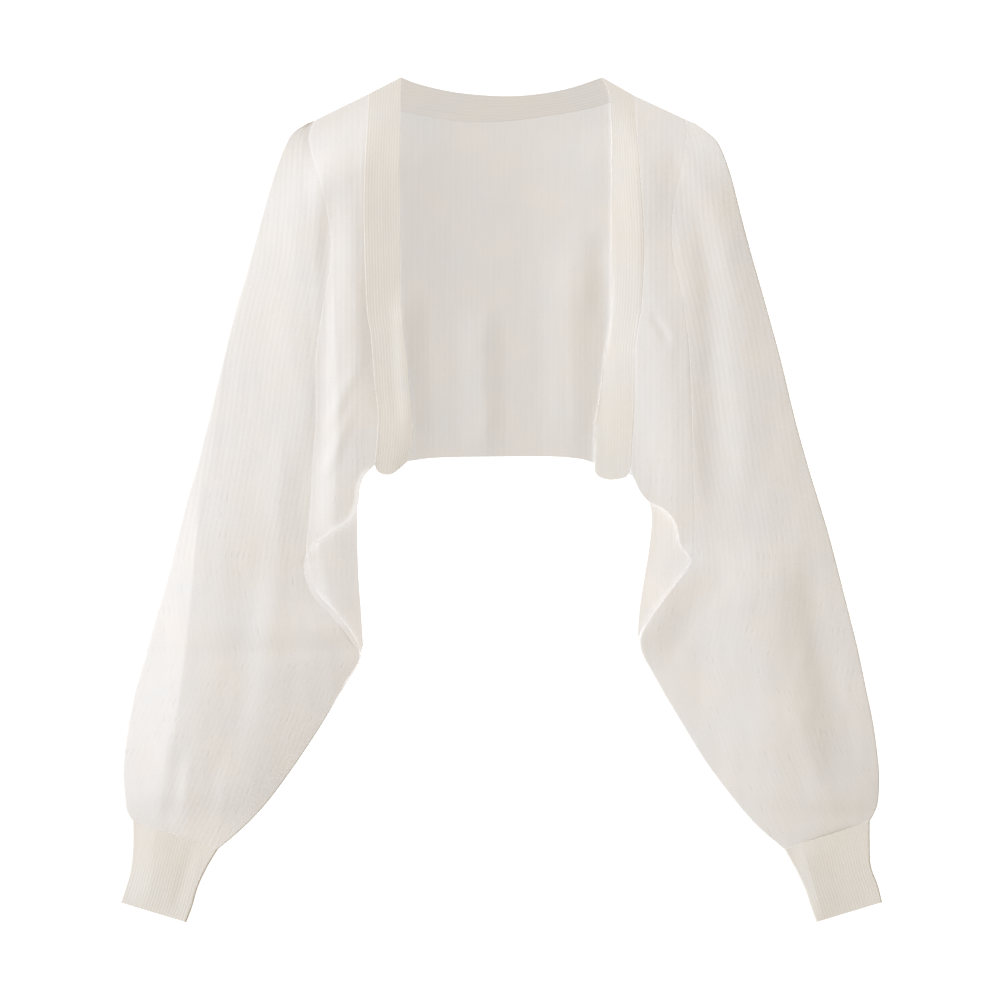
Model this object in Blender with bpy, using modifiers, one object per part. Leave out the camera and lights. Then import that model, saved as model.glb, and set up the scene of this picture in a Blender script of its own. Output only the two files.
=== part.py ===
"""Cropped open-front cardigan in fine knit, laid flat with its front up.

Ten knitted pieces, each a cloth wall of its own: a back with two side drops, two fronts, two balloon sleeves, two
ribbed cuffs, a ribbed back neckband and two ribbed front bands.  The back and the undersides of the sleeves lie on the
surface at z = 0, and the fronts, bands and upper sides of the sleeves lie on top of them.

X is the wearer's side to side, +Y runs from hem to neck and +Z is up, out of the front.  Every length in the tables is
in millimetres.
"""

from collections import namedtuple
from math import cos, pi, sin

import bmesh
import bpy
import numpy as np
from mathutils import Vector

MM = 0.001

# ---- driving dimensions -------------------------------------------------------------------------------------------
KNIT_WALL = 1.5  # plain knit
RIB_WALL = 2.2  # ribbed bands and cuffs
SEAM_GAP = 0.3  # between two pieces sewn edge to edge
SEAM_LEAN = 0.15  # each sewn edge is drawn back this much more, because walls on a slope lean towards each other
SEAM_AIR = 0.3  # between front and back along the shoulder seam
CUFF_GAP = 0.75  # the sleeve's last ring stands back this far from the cuff, whose side it leans towards
LAID_AIR = 1.0  # between two layers that lie on each other
BAND_LIFT = 0.7  # a front band lies this much higher than the front, clear of the neckband's ends
BOTTOM_SHARE = 0.6  # how much of a fold the lower layer takes too
SHOULDER_Y = 344.0  # height of the shoulder line where the front band starts
SHOULDER_X = 112.0
SHOULDER_SLOPE = 0.47
SHOULDER_EASE = 25.0  # the layers part over this length below the shoulder line

TOP_CELLS = 10  # faces across the upper side of a sleeve
UNDER_CELLS = 6  # faces across its underside
TURN_CELLS = 4  # faces round a folded edge
BAND_CELLS = 3
NECKBAND_CELLS = 2
FRONT_CELLS = 5
SIDE_CELLS = 4  # across the back, armhole to hem corner
BACK_CELLS = 12  # across the back, between the two hem corners
CURVE_STEPS = 12  # straight steps between two turns of an outline
UNDERARM_ROW = 14  # sleeve section at the underarm point
NOTCH_ROW = 11  # sleeve section where the front's hem meets the armhole
HEM_ROW = 9  # sleeve section level with the back's hem
FADE = 0.25  # share of a fold's length over which each of its ends fades out
EDGE_EASE = 1 / 6  # share of a tube's width over which folds rise from a folded edge

# ---- sleeves: one row for each section, shoulder to cuff seam ------------------------------------------------------
# outer_x, outer_y: the folded outer edge; inner_x, inner_y: armhole seam down to NOTCH_ROW, then the sleeve's own free
# edge down to UNDERARM_ROW, then the folded inner edge; under: how far the back's seam lies beneath the front's;
# puff: how much the upper side stands up in the middle
Section = namedtuple("Section", "outer_x outer_y inner_x inner_y under puff")
SLEEVE_LEFT = [
    Section(-164, 319, -157, 322, 0.0, 0.0),
    Section(-177, 311, -163, 309, 0.5, 0.1),
    Section(-184, 299, -161, 295, 1.5, 0.3),
    Section(-193, 275, -154, 271, 3.0, 0.5),
    Section(-203, 241, -147, 241, 4.0, 0.7),
    Section(-215, 196, -144, 205, 4.0, 0.8),
    Section(-225, 164, -151, 164, 4.0, 0.8),
    Section(-237, 118, -155, 118, 4.0, 0.8),
    Section(-248, 72, -157, 71, 4.0, 0.8),
    Section(-258, 33, -160, 26, 4.0, 0.8),
    Section(-269, -4, -162, -13, 4.0, 0.9),
    Section(-278, -39, -165, -47, 4.0, 0.9),
    Section(-284, -64, -156, -79, 4.0, 0.9),
    Section(-294, -99, -138, -99, 4.0, 0.9),
    Section(-303, -134, -119, -131, 0.0, 0.9),
    Section(-311, -162, -132, -157, 0.0, 0.9),
    Section(-317, -194, -154, -194, 0.0, 0.9),
    Section(-321, -226, -178, -230, 0.0, 0.9),
    Section(-320, -250, -199, -258, 0.0, 0.9),
    Section(-318, -264, -220, -280, 0.0, 0.6),
    Section(-313, -273, -240, -297, 0.0, 0.0),
]
SLEEVE_RIGHT = [
    Section(164, 319, 157, 322, 0.0, 0.0),
    Section(174, 312, 158, 309, 0.5, 0.1),
    Section(185, 301, 155, 290, 1.5, 0.3),
    Section(195, 275, 149, 263, 3.0, 0.5),
    Section(203, 244, 145, 237, 4.0, 0.7),
    Section(213, 206, 146, 205, 4.0, 0.8),
    Section(225, 164, 155, 164, 4.0, 0.8),
    Section(238, 116, 160, 118, 4.0, 0.8),
    Section(250, 66, 162, 66, 4.0, 0.8),
    Section(263, 20, 163, 20, 4.0, 0.8),
    Section(277, -26, 164, -18, 4.0, 0.9),
    Section(286, -60, 162, -52, 4.0, 0.9),
    Section(295, -96, 152, -67, 4.0, 0.9),
    Section(303, -128, 136, -88, 4.0, 0.9),
    Section(310, -162, 117, -120, 0.0, 0.9),
    Section(316, -191, 132, -154, 0.0, 0.9),
    Section(320, -221, 152, -188, 0.0, 0.9),
    Section(321, -239, 173, -222, 0.0, 0.9),
    Section(320, -257, 193, -249, 0.0, 0.9),
    Section(317, -266, 215, -275, 0.0, 0.6),
    Section(313, -273, 240, -297, 0.0, 0.0),
]

# ---- cuffs: sleeve seam to open end --------------------------------------------------------------------------------
CuffSection = namedtuple("CuffSection", "outer_x outer_y inner_x inner_y")
CUFF_LEFT = [
    CuffSection(-313, -273, -240, -297),
    CuffSection(-313, -292, -249, -312),
    CuffSection(-315, -314, -257, -329),
    CuffSection(-320, -332, -262, -346),
    CuffSection(-323, -341, -267, -358),
]
CUFF_RIGHT = [
    CuffSection(313, -273, 240, -297),
    CuffSection(313, -292, 250, -315),
    CuffSection(314, -311, 257, -330),
    CuffSection(320, -328, 262, -345),
    CuffSection(323, -341, 267, -358),
]

# ---- flat pieces: each outline is a few turns, x and y -------------------------------------------------------------
NECK_TOP = [(-85, 358), (-69, 352), (-43, 346), (-18, 343), (8, 342), (33, 344), (59, 349), (86, 358)]
NECK_SEAM = [(-112, 344), (-99, 334), (-84, 329), (-52, 323), (-26, 320), (8, 321), (51, 327), (78, 332), (94, 337),
             (112, 343)]
BAND_SEAM_LEFT = [(-112, 344), (-116, 263), (-115, 195), (-113, 157), (-110, 139), (-107, 100), (-104, 75),
                  (-105, 50), (-107, 29)]
BAND_EDGE_LEFT = [(-85, 358), (-86, 271), (-85, 212), (-84, 149), (-81, 128), (-77, 88), (-75, 55), (-79, 32)]
BAND_END_LEFT = [(-107, 29), (-105, 24), (-100, 21), (-93, 21), (-87, 25), (-79, 32)]
BAND_SEAM_RIGHT = [(112, 343), (117, 282), (121, 218), (119, 168), (116, 149), (113, 127), (113, 84), (111, 50),
                   (110, 27)]
BAND_EDGE_RIGHT = [(86, 358), (92, 343), (94, 313), (94, 237), (93, 161), (88, 120), (84, 88), (80, 60), (79, 32)]
BAND_END_RIGHT = [(110, 27), (107, 20), (100, 18), (90, 18), (82, 22), (79, 32)]
FRONT_HEM_LEFT = [(-165, -47), (-159, -40), (-151, -34), (-141, -27), (-132, -22), (-125, -15), (-121, -3), (-119.5, 9),
                  (-116, 19), (-107, 29)]
FRONT_HEM_RIGHT = [(162, -52), (158, -46), (152, -38), (149.5, -24), (144, -14), (136, -7), (127, -3), (121, 2),
                   (115, 12), (110, 27)]
BACK_HEM = [(-107, 29), (-94, 31), (-79, 33), (-54, 36), (-1, 37), (43, 37), (67, 35), (78, 32), (94, 28), (111, 20)]

# The back's side drops: armhole position, in sleeve rows, and the free edge's point across from it
Drop = namedtuple("Drop", "armhole_row free_x free_y")
DROP_LEFT = [Drop(9.35, -116, 20), Drop(9.7, -121, 6), Drop(10, -122, -6), Drop(11, -122, -33), Drop(12, -121, -66),
             Drop(13, -119, -93), Drop(14, -117, -124)]
DROP_RIGHT = [Drop(9.35, 117, 10), Drop(9.7, 124, 1), Drop(10, 128, -14), Drop(11, 126, -40), Drop(12, 122, -65),
              Drop(13, 118, -90), Drop(14, 116, -114)]

# ---- largest folds: each is a soft ridge over start, middle and end points -----------------------------------------
Fold = namedtuple("Fold", "x0 y0 x1 y1 x2 y2 half_width height")
FOLDS = [
    Fold(-165, 300, -145, 215, -158, 110, 16, 2.0),  # left armhole, shoulder to chest
    Fold(-157, 90, -160, 20, -164, -50, 13, 3.0),  # left front's turned edge
    Fold(-180, 230, -193, 75, -197, -70, 17, 3.0),  # left sleeve, inner long fold
    Fold(-200, -90, -205, -170, -219, -245, 17, 2.6),
    Fold(-252, -10, -270, -120, -292, -262, 18, 3.2),  # left sleeve, outer long fold
    Fold(158, 290, 180, 200, 214, 77, 16, 2.4),  # right armhole and its long fold
    Fold(162, 130, 163, 20, 164, -48, 12, 2.6),  # right front's turned edge
    Fold(216, 60, 220, -30, 222, -100, 20, 2.4),
    Fold(168, -80, 200, -130, 214, -220, 24, 3.0),  # right sleeve's puffed inner side
    Fold(262, -90, 278, -160, 292, -250, 18, 2.6),
    Fold(-40, 170, -42, 110, -44, 40, 20, 2.4),  # back's upright folds
    Fold(18, 150, 20, 110, 22, 50, 14, 2.0),
    Fold(44, 195, 45, 120, 45, 40, 13, 3.0),
]

KNIT_COLOUR = (0.80, 0.775, 0.735, 1.0)
RIB_COLOUR = (0.78, 0.75, 0.705, 1.0)
KNIT_ROUGHNESS = 0.9
RIB_ROUGHNESS = 0.85


# ---- heights of the layers -----------------------------------------------------------------------------------------
def smooth(t):
    """0 to 1 with level ends."""
    t = min(max(t, 0.0), 1.0)
    return t * t * (3 - 2 * t)


def fold_at(fold, x, y):
    """Height of one fold at a point: a cosine ridge across it, faded out over each end."""
    stops = [Vector((fold.x0, fold.y0)), Vector((fold.x1, fold.y1)), Vector((fold.x2, fold.y2))]
    point = Vector((x, y))
    nearest, place = 1e9, 0.0
    for i in range(2):
        run = stops[i + 1] - stops[i]
        t = min(max((point - stops[i]).dot(run) / run.length_squared, 0.0), 1.0)
        gap = (point - stops[i] - run * t).length
        if gap < nearest:
            nearest, place = gap, (i + t) / 2
    if nearest >= fold.half_width:
        return 0.0
    across = cos(pi / 2 * nearest / fold.half_width) ** 2
    return fold.height * across * smooth(place / FADE) * smooth((1 - place) / FADE)


def fold_height(x, y):
    """Height of all the folds at a point; where two cross, the higher one stands."""
    return max(fold_at(fold, x, y) for fold in FOLDS)


def under_level(x, y, edge=1.0):
    """Height of the lower layer's underside.  edge is 0 on a folded edge, which lies on the surface."""
    return BOTTOM_SHARE * fold_height(x, y) * edge


def upper_level(x, y, edge=1.0):
    """Height of the upper layer's underside."""
    below_shoulder = SHOULDER_Y - SHOULDER_SLOPE * max(abs(x) - SHOULDER_X, 0.0) - y
    air = SEAM_AIR + (LAID_AIR - SEAM_AIR) * smooth(below_shoulder / SHOULDER_EASE)
    return KNIT_WALL + air + fold_height(x, y) * edge


# ---- outlines ------------------------------------------------------------------------------------------------------
def along(turns, fractions):
    """Points at these fractions of the length of a smooth curve through the turns."""
    points = [Vector(turn) for turn in turns]
    points = [2 * points[0] - points[1], *points, 2 * points[-1] - points[-2]]
    fine = []
    for a, b, c, d in zip(points, points[1:], points[2:], points[3:]):
        for k in range(CURVE_STEPS):
            t = k / CURVE_STEPS
            fine.append(0.5 * (2 * b + (c - a) * t + (2 * a - 5 * b + 4 * c - d) * t**2
                               + (3 * b - a - 3 * c + d) * t**3))
    fine.append(points[-2])
    lengths = np.concatenate([[0.0], np.cumsum([(q - p).length for p, q in zip(fine, fine[1:])])])
    at = np.array(fractions) * lengths[-1]
    xs = np.interp(at, lengths, [p.x for p in fine])
    ys = np.interp(at, lengths, [p.y for p in fine])
    return [Vector((x, y)) for x, y in zip(xs, ys)]


def straight(start, end, cells):
    """Points of a straight line, ends included."""
    start, end = Vector(start), Vector(end)
    return [start.lerp(end, k / cells) for k in range(cells + 1)]


def filled(left, right, top, bottom):
    """Rows of points that fill the area between four edges which share their corners (a Coons patch)."""
    rows = []
    down, wide = len(left) - 1, len(top) - 1
    for i in range(down + 1):
        v = i / down
        row = []
        for k in range(wide + 1):
            u = k / wide
            ruled = left[i] * (1 - u) + right[i] * u + top[k] * (1 - v) + bottom[k] * v
            corners = (top[0] * (1 - u) + top[-1] * u) * (1 - v) + (bottom[0] * (1 - u) + bottom[-1] * u) * v
            row.append(ruled - corners)
        rows.append(row)
    return rows


def pulled_in(rows, sides):
    """The same rows with the sewn sides drawn back by half of the seam's gap."""
    step = SEAM_GAP / 2 + SEAM_LEAN
    rows = [list(row) for row in rows]

    def towards(point, inner):
        return point + (inner - point).normalized() * step

    if "left" in sides:
        for row in rows:
            row[0] = towards(row[0], row[1])
    if "right" in sides:
        for row in rows:
            row[-1] = towards(row[-1], row[-2])
    if "top" in sides:
        rows[0] = [towards(p, q) for p, q in zip(rows[0], rows[1])]
    if "bottom" in sides:
        rows[-1] = [towards(p, q) for p, q in zip(rows[-1], rows[-2])]
    return rows


def armhole(sections, last_row):
    """The front's armhole seam, shoulder to the given sleeve row."""
    return [Vector((s.inner_x, s.inner_y)) for s in sections[: last_row + 1]]


def back_armhole(sections, row):
    """Point of the back's armhole seam at a sleeve row, which may lie between two sections."""
    lower = min(int(row), len(sections) - 2)
    share = row - lower
    points = []
    for s in sections[lower : lower + 2]:
        outward = 1 if s.inner_x > 0 else -1
        points.append(Vector((s.inner_x + outward * s.under, s.inner_y)))
    return points[0].lerp(points[1], share)


# ---- cloth walls ---------------------------------------------------------------------------------------------------
def cloth(name, bm, wall, material, parent):
    """Turns an open surface into a wall, half of it on each side of the surface."""
    bmesh.ops.recalc_face_normals(bm, faces=bm.faces)
    mesh = bpy.data.meshes.new(name)
    bm.to_mesh(mesh)
    bm.free()
    mesh.shade_smooth()
    mesh.materials.append(material)
    piece = bpy.data.objects.new(name, mesh)
    piece.parent = parent
    parent.users_collection[0].objects.link(piece)
    shell = piece.modifiers.new("wall", "SOLIDIFY")
    shell.thickness = wall * MM
    shell.offset = 0.0
    shell.use_even_offset = True
    shell.use_quality_normals = True
    return piece


def at_height(point, z):
    return Vector((point.x, point.y, z)) * MM


def add_rows(bm, rows):
    """Faces between rows of vertices; where two rows differ in length, the longer one's last points stay free."""
    for upper, lower in zip(rows, rows[1:]):
        for k in range(min(len(upper), len(lower)) - 1):
            bm.faces.new((upper[k], lower[k], lower[k + 1], upper[k + 1]))


def upper_panel(name, rows, wall, lift, material, parent):
    """A single sheet on top of the back: a front or a front band."""
    bm = bmesh.new()
    verts = [[bm.verts.new(at_height(p, upper_level(p.x, p.y) + lift + wall / 2)) for p in row] for row in rows]
    add_rows(bm, verts)
    return cloth(name, bm, wall, material, parent)


def neckband(material, parent):
    """The rib round the back neck, on the surface between the two high shoulder points."""
    fractions = [k / BACK_CELLS for k in range(BACK_CELLS + 1)]
    top, bottom = along(NECK_TOP, fractions), along(NECK_SEAM, fractions)
    left = straight(top[0], bottom[0], NECKBAND_CELLS)
    right = straight(top[-1], bottom[-1], NECKBAND_CELLS)
    rows = pulled_in(filled(left, right, top, bottom), {"bottom"})
    bm = bmesh.new()
    add_rows(bm, [[bm.verts.new(at_height(p, RIB_WALL / 2)) for p in row] for row in rows])
    return cloth("neckband", bm, RIB_WALL, material, parent)


def back(material, parent):
    """The back: one field from neck to hem, and a drop on each side from the hem's corner to the underarm."""
    arm_left = [back_armhole(SLEEVE_LEFT, row) for row in range(HEM_ROW + 1)]
    arm_right = [back_armhole(SLEEVE_RIGHT, row) for row in range(HEM_ROW + 1)]
    middle = [k / BACK_CELLS for k in range(BACK_CELLS + 1)]
    neck, hem = along(NECK_SEAM, middle), along(BACK_HEM, middle)
    top = straight(arm_left[0], neck[0], SIDE_CELLS)[:-1] + neck + straight(neck[-1], arm_right[0], SIDE_CELLS)[1:]
    bottom = straight(arm_left[-1], hem[0], SIDE_CELLS)[:-1] + hem + straight(hem[-1], arm_right[-1], SIDE_CELLS)[1:]
    rows = filled(arm_left, arm_right, top, bottom)
    rows = pulled_in(rows, {"left", "right", "top"})
    bm = bmesh.new()

    def vertex(p):
        return bm.verts.new(at_height(p, under_level(p.x, p.y) + KNIT_WALL / 2))

    verts = [[vertex(p) for p in row] for row in rows]
    add_rows(bm, verts)
    for sections, drops, shared in ((SLEEVE_LEFT, DROP_LEFT, verts[-1][: SIDE_CELLS + 1]),
                                    (SLEEVE_RIGHT, DROP_RIGHT, verts[-1][: -SIDE_CELLS - 2 : -1])):
        drop_rows = [shared]
        for drop in drops:
            seam = back_armhole(sections, drop.armhole_row)
            free = Vector((drop.free_x, drop.free_y))
            line = pulled_in([straight(seam, free, SIDE_CELLS)], {"left"})[0]
            drop_rows.append([vertex(p) for p in line])
        add_rows(bm, drop_rows)
    return cloth("back", bm, KNIT_WALL, material, parent)


def length_fractions(points):
    """How far along its length each point of a line lies, 0 to 1."""
    lengths = np.concatenate([[0.0], np.cumsum([(q - p).length for p, q in zip(points, points[1:])])])
    return list(lengths / lengths[-1])


def front_and_band(side, sections, seam_turns, edge_turns, end_turns, hem_turns, knit, rib, parent):
    """One front and the rib band sewn to its open edge; both take their rows from the sleeve's armhole."""
    arm = armhole(sections, NOTCH_ROW)
    fractions = length_fractions(arm)
    seam = along(seam_turns, fractions)
    across = [k / FRONT_CELLS for k in range(FRONT_CELLS + 1)]
    hem = along(hem_turns, across)
    rows = filled(arm, seam, straight(arm[0], seam[0], FRONT_CELLS), hem)
    upper_panel(f"front_{side}", pulled_in(rows, {"left", "right"}), KNIT_WALL, 0.0, knit, parent)
    edge = along(edge_turns, fractions)
    end = along(end_turns, [k / BAND_CELLS for k in range(BAND_CELLS + 1)])
    rows = filled(seam, edge, straight(seam[0], edge[0], BAND_CELLS), end)
    upper_panel(f"band_{side}", pulled_in(rows, {"left"}), RIB_WALL, BAND_LIFT, rib, parent)


def turned_edge(edge_point, inward, low, high, wall):
    """Points round a folded edge, from the upper layer down to the lower one."""
    radius = (high - low) / 2
    centre = edge_point + inward * (radius + wall / 2)
    points = []
    for k in range(1, TURN_CELLS):
        angle = pi / 2 - pi * k / TURN_CELLS
        p = centre - inward * (radius * cos(angle))
        points.append(at_height(p, low + radius + radius * sin(angle)))
    return points


def tube_section(outer, inner, wall, puff, lower_end=None, sewn=0.0):
    """One ring of a laid tube, from its inner edge over the top to the outer edge and back beneath.

    A closed ring also turns round its inner edge.  One with a lower_end is open: its upper layer starts at the inner
    edge, drawn back by `sewn`, and its lower layer stops at lower_end.
    """
    closed = lower_end is None
    outward = (outer - inner).normalized()
    low = wall / 2
    air = upper_level(outer.x, outer.y, 0.0) - KNIT_WALL
    high = low + wall + air
    inset = (high - low) / 2 + wall / 2
    start_top = inner + outward * (inset if closed else sewn)
    start_under = inner + outward * inset if closed else lower_end + outward * (SEAM_GAP / 2 + SEAM_LEAN)
    end = outer - outward * inset
    points = []
    for k in range(TOP_CELLS + 1):
        u = k / TOP_CELLS
        p = start_top.lerp(end, u)
        swell = abs(sin(pi * u)) ** (1.0 if closed else 1.5)
        level = upper_level(p.x, p.y, edge_weight(u, closed)) - KNIT_WALL + wall
        points.append(at_height(p, level + puff * swell + wall / 2))
    points += turned_edge(outer, -outward, low, high, wall)
    for k in range(UNDER_CELLS + 1):
        u = 1 - k / UNDER_CELLS
        p = start_under.lerp(end, u)
        points.append(at_height(p, under_level(p.x, p.y, edge_weight(u, closed)) + low))
    if closed:
        points += reversed(turned_edge(inner, outward, low, high, wall))
    return points


def edge_weight(u, closed):
    """How freely a fold may stand across a tube: not at all on a folded edge."""
    return smooth((1 - u) / EDGE_EASE) * (smooth(u / EDGE_EASE) if closed else 1.0)


def tube(name, rings, wall, material, parent, first_closed=0):
    """A laid tube from its rings.  Rings before first_closed are open along the inner edge."""
    bm = bmesh.new()
    rows = [[bm.verts.new(p) for p in ring] for ring in rings]
    add_rows(bm, rows)
    for upper, lower in zip(rows[first_closed:], rows[first_closed + 1 :]):
        bm.faces.new((upper[-1], lower[-1], lower[0], upper[0]))
    return cloth(name, bm, wall, material, parent)


def sleeve(side, sections, material, parent):
    rings = []
    for i, s in enumerate(sections):
        outer, inner = Vector((s.outer_x, s.outer_y)), Vector((s.inner_x, s.inner_y))
        if i == len(sections) - 1:
            along_seam = (outer - inner).normalized()
            up_sleeve = Vector((-along_seam.y, along_seam.x)) * (1 if along_seam.x > 0 else -1)
            outer, inner = outer + up_sleeve * CUFF_GAP, inner + up_sleeve * CUFF_GAP
        sewn = SEAM_GAP / 2 + SEAM_LEAN if i <= NOTCH_ROW else 0.0
        lower_end = back_armhole(sections, i) if i < UNDERARM_ROW else None
        rings.append(tube_section(outer, inner, KNIT_WALL, s.puff, lower_end, sewn))
    return tube(f"sleeve_{side}", rings, KNIT_WALL, material, parent, UNDERARM_ROW)


def cuff(side, sections, material, parent):
    rings = []
    for s in sections:
        outer, inner = Vector((s.outer_x, s.outer_y)), Vector((s.inner_x, s.inner_y))
        rings.append(tube_section(outer, inner, RIB_WALL, 0.0))
    return tube(f"cuff_{side}", rings, RIB_WALL, material, parent)


# ---- the whole garment ---------------------------------------------------------------------------------------------
def wool(name, colour, roughness):
    material = bpy.data.materials.new(name)
    material.use_nodes = True
    shader = material.node_tree.nodes["Principled BSDF"]
    shader.inputs["Base Color"].default_value = colour
    shader.inputs["Roughness"].default_value = roughness
    shader.inputs["Metallic"].default_value = 0.0
    return material


def main():
    for old in list(bpy.data.objects):
        bpy.data.objects.remove(old, do_unlink=True)
    collection = bpy.data.collections.new("cardigan")
    bpy.context.scene.collection.children.link(collection)
    root = bpy.data.objects.new("cardigan_origin", None)
    collection.objects.link(root)
    knit = wool("off_white_knit", KNIT_COLOUR, KNIT_ROUGHNESS)
    rib = wool("off_white_rib", RIB_COLOUR, RIB_ROUGHNESS)
    back(knit, root)
    neckband(rib, root)
    front_and_band("left", SLEEVE_LEFT, BAND_SEAM_LEFT, BAND_EDGE_LEFT, BAND_END_LEFT, FRONT_HEM_LEFT, knit, rib, root)
    front_and_band("right", SLEEVE_RIGHT, BAND_SEAM_RIGHT, BAND_EDGE_RIGHT, BAND_END_RIGHT, FRONT_HEM_RIGHT, knit, rib,
                   root)
    sleeve("left", SLEEVE_LEFT, knit, root)
    sleeve("right", SLEEVE_RIGHT, knit, root)
    cuff("left", CUFF_LEFT, rib, root)
    cuff("right", CUFF_RIGHT, rib, root)


main()
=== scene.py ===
# %% [markdown]
# # An off-white cropped cardigan, laid flat
# The garment is an open-fronted shrug in a fine knit: a short back, two narrow fronts, full balloon
# sleeves, ribbed cuffs and a rib along the open fronts and round the back neck.  It lies on a table with
# its front up, lit softly from the upper left.  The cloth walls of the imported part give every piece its
# place; this file gives each of them its folds, ribs, seams and yarn.

from collections import namedtuple
from math import pi

import bpy
import numpy as np
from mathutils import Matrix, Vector


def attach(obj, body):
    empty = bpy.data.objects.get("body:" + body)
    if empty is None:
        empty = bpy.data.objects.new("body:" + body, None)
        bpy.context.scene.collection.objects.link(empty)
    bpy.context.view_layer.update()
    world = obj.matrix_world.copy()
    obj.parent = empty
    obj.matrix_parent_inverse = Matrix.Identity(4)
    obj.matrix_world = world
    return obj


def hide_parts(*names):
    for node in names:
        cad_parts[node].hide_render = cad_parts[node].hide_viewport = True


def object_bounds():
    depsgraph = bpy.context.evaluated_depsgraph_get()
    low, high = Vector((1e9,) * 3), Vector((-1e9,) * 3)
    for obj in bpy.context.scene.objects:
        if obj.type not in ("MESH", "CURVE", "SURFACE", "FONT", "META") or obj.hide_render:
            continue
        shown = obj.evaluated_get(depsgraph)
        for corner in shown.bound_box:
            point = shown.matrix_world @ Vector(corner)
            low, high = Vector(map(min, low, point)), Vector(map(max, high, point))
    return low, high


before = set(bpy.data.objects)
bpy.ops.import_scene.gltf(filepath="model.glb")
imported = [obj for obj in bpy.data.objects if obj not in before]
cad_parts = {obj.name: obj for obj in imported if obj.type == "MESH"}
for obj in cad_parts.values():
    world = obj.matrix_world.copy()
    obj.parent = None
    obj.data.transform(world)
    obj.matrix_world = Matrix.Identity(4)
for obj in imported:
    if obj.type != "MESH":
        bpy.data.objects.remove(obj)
cad_low, cad_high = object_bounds()
MM = 0.001
cad_size = [round((h - l) / MM, 1) for l, h in zip(cad_low, cad_high)]
print("the packed garment is", cad_size, "mm, in", len(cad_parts), "pieces")

# %% [markdown]
# ## Sizes of the cloth
# A knitter thinks in gauge: how wide a stitch is and how thick the fabric.  Every later cell works from
# these few numbers, all in millimetres, so a coarser knit is one change here.  X runs across the garment,
# Y from hem to neck.

# %% Gauge and walls
KNIT_WALL = 0.9
RIB_WALL = 1.1
STITCH_WIDE = 1.5
STITCH_TALL = 1.15
WALE_PITCH = 4.6  # the knit shows a faint upright line this often
WALE_DEPTH = 0.022
RIB_PITCH = 2.5
RIB_DEPTH = 0.035
CURL_WALL = 0.6
CURL_WIDE = {"left": 4.2, "right": 0.0}  # this much of the cloth curls up along its free edges
LAYER_AIR = 1.5  # between two layers that lie on each other
BAND_PROUD = 0.1  # a front band stands this far above the front
CUT_ANGLE = 0.9  # an edge that turns by more radians than this is the cut edge of the cloth
KNIT_UNEVEN = 0.6  # how much washed cloth wanders up and down
BACK_UNEVEN = 0.8
RIB_UNEVEN = 0.4
NECK_UNEVEN = 0.3
print("stitches for each 100 mm:", round(100 / STITCH_WIDE), "by", round(100 / STITCH_TALL))


# %% [markdown]
# ## Smooth lines through a few turns
# Every outline is a short table of turns.  A Catmull-Rom curve passes through each of them with no
# corners, which suits cloth.  Points are then read off at even shares of its length, so neighbouring
# pieces can share an edge.

# %% Curves
CURVE_SAMPLES = 24  # for each turn of an outline


def spline(values, places):
    """A smooth curve through rows of values, read at fractional row numbers."""
    values, places = np.asarray(values, float), np.asarray(places, float)
    padded = np.vstack([2 * values[0] - values[1], values, 2 * values[-1] - values[-2]])
    row = np.clip(places.astype(int), 0, len(values) - 2)
    t = (places - row)[:, None]
    a, b, c, d = (padded[row + k] for k in range(4))
    return 0.5 * (2 * b + (c - a) * t + (2 * a - 5 * b + 4 * c - d) * t**2 + (3 * b - a - 3 * c + d) * t**3)


def run_lengths(points):
    """Length walked at each point of a line."""
    return np.concatenate([[0.0], np.cumsum(np.linalg.norm(np.diff(points, axis=0), axis=1))])


def along(turns, shares):
    """Points at these shares of the length of a smooth curve through the turns."""
    fine = spline(turns, np.linspace(0, len(turns) - 1, CURVE_SAMPLES * len(turns)))
    walked = run_lengths(fine)
    at = np.asarray(shares) * walked[-1]
    return np.stack([np.interp(at, walked, fine[:, k]) for k in range(fine.shape[1])], axis=1)


def straight(start, end, shares):
    shares = np.asarray(shares)[:, None]
    return np.asarray(start) * (1 - shares) + np.asarray(end) * shares


def filled(left, right, top, bottom, down, wide):
    """Points that fill four edges, a Coons patch; down and wide are the shares of its rows and columns."""
    v, u = np.asarray(down)[:, None, None], np.asarray(wide)[None, :, None]
    ruled = left[:, None] * (1 - u) + right[:, None] * u + top[None] * (1 - v) + bottom[None] * v
    corners = (top[0] * (1 - u) + top[-1] * u) * (1 - v) + (bottom[0] * (1 - u) + bottom[-1] * u) * v
    return ruled - corners


def even(count):
    return np.linspace(0, 1, count + 1)


def smooth(t):
    t = np.clip(t, 0, 1)
    return t * t * (3 - 2 * t)


arch = along([(0, 0), (1, 1), (2, 0)], even(50))
print("a smooth arch through three turns is", round(run_lengths(arch)[-1], 2), "long")


# %% [markdown]
# ## The outline
# These tables say where the laid garment's edges and seams run.  A sleeve is a list of cross sections
# from the shoulder to the cuff: its folded outer edge, and on the inner side the armhole seam, then the
# free edge below the front, then the folded inner edge.  `puff` is how high the balloon stands there.

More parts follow.
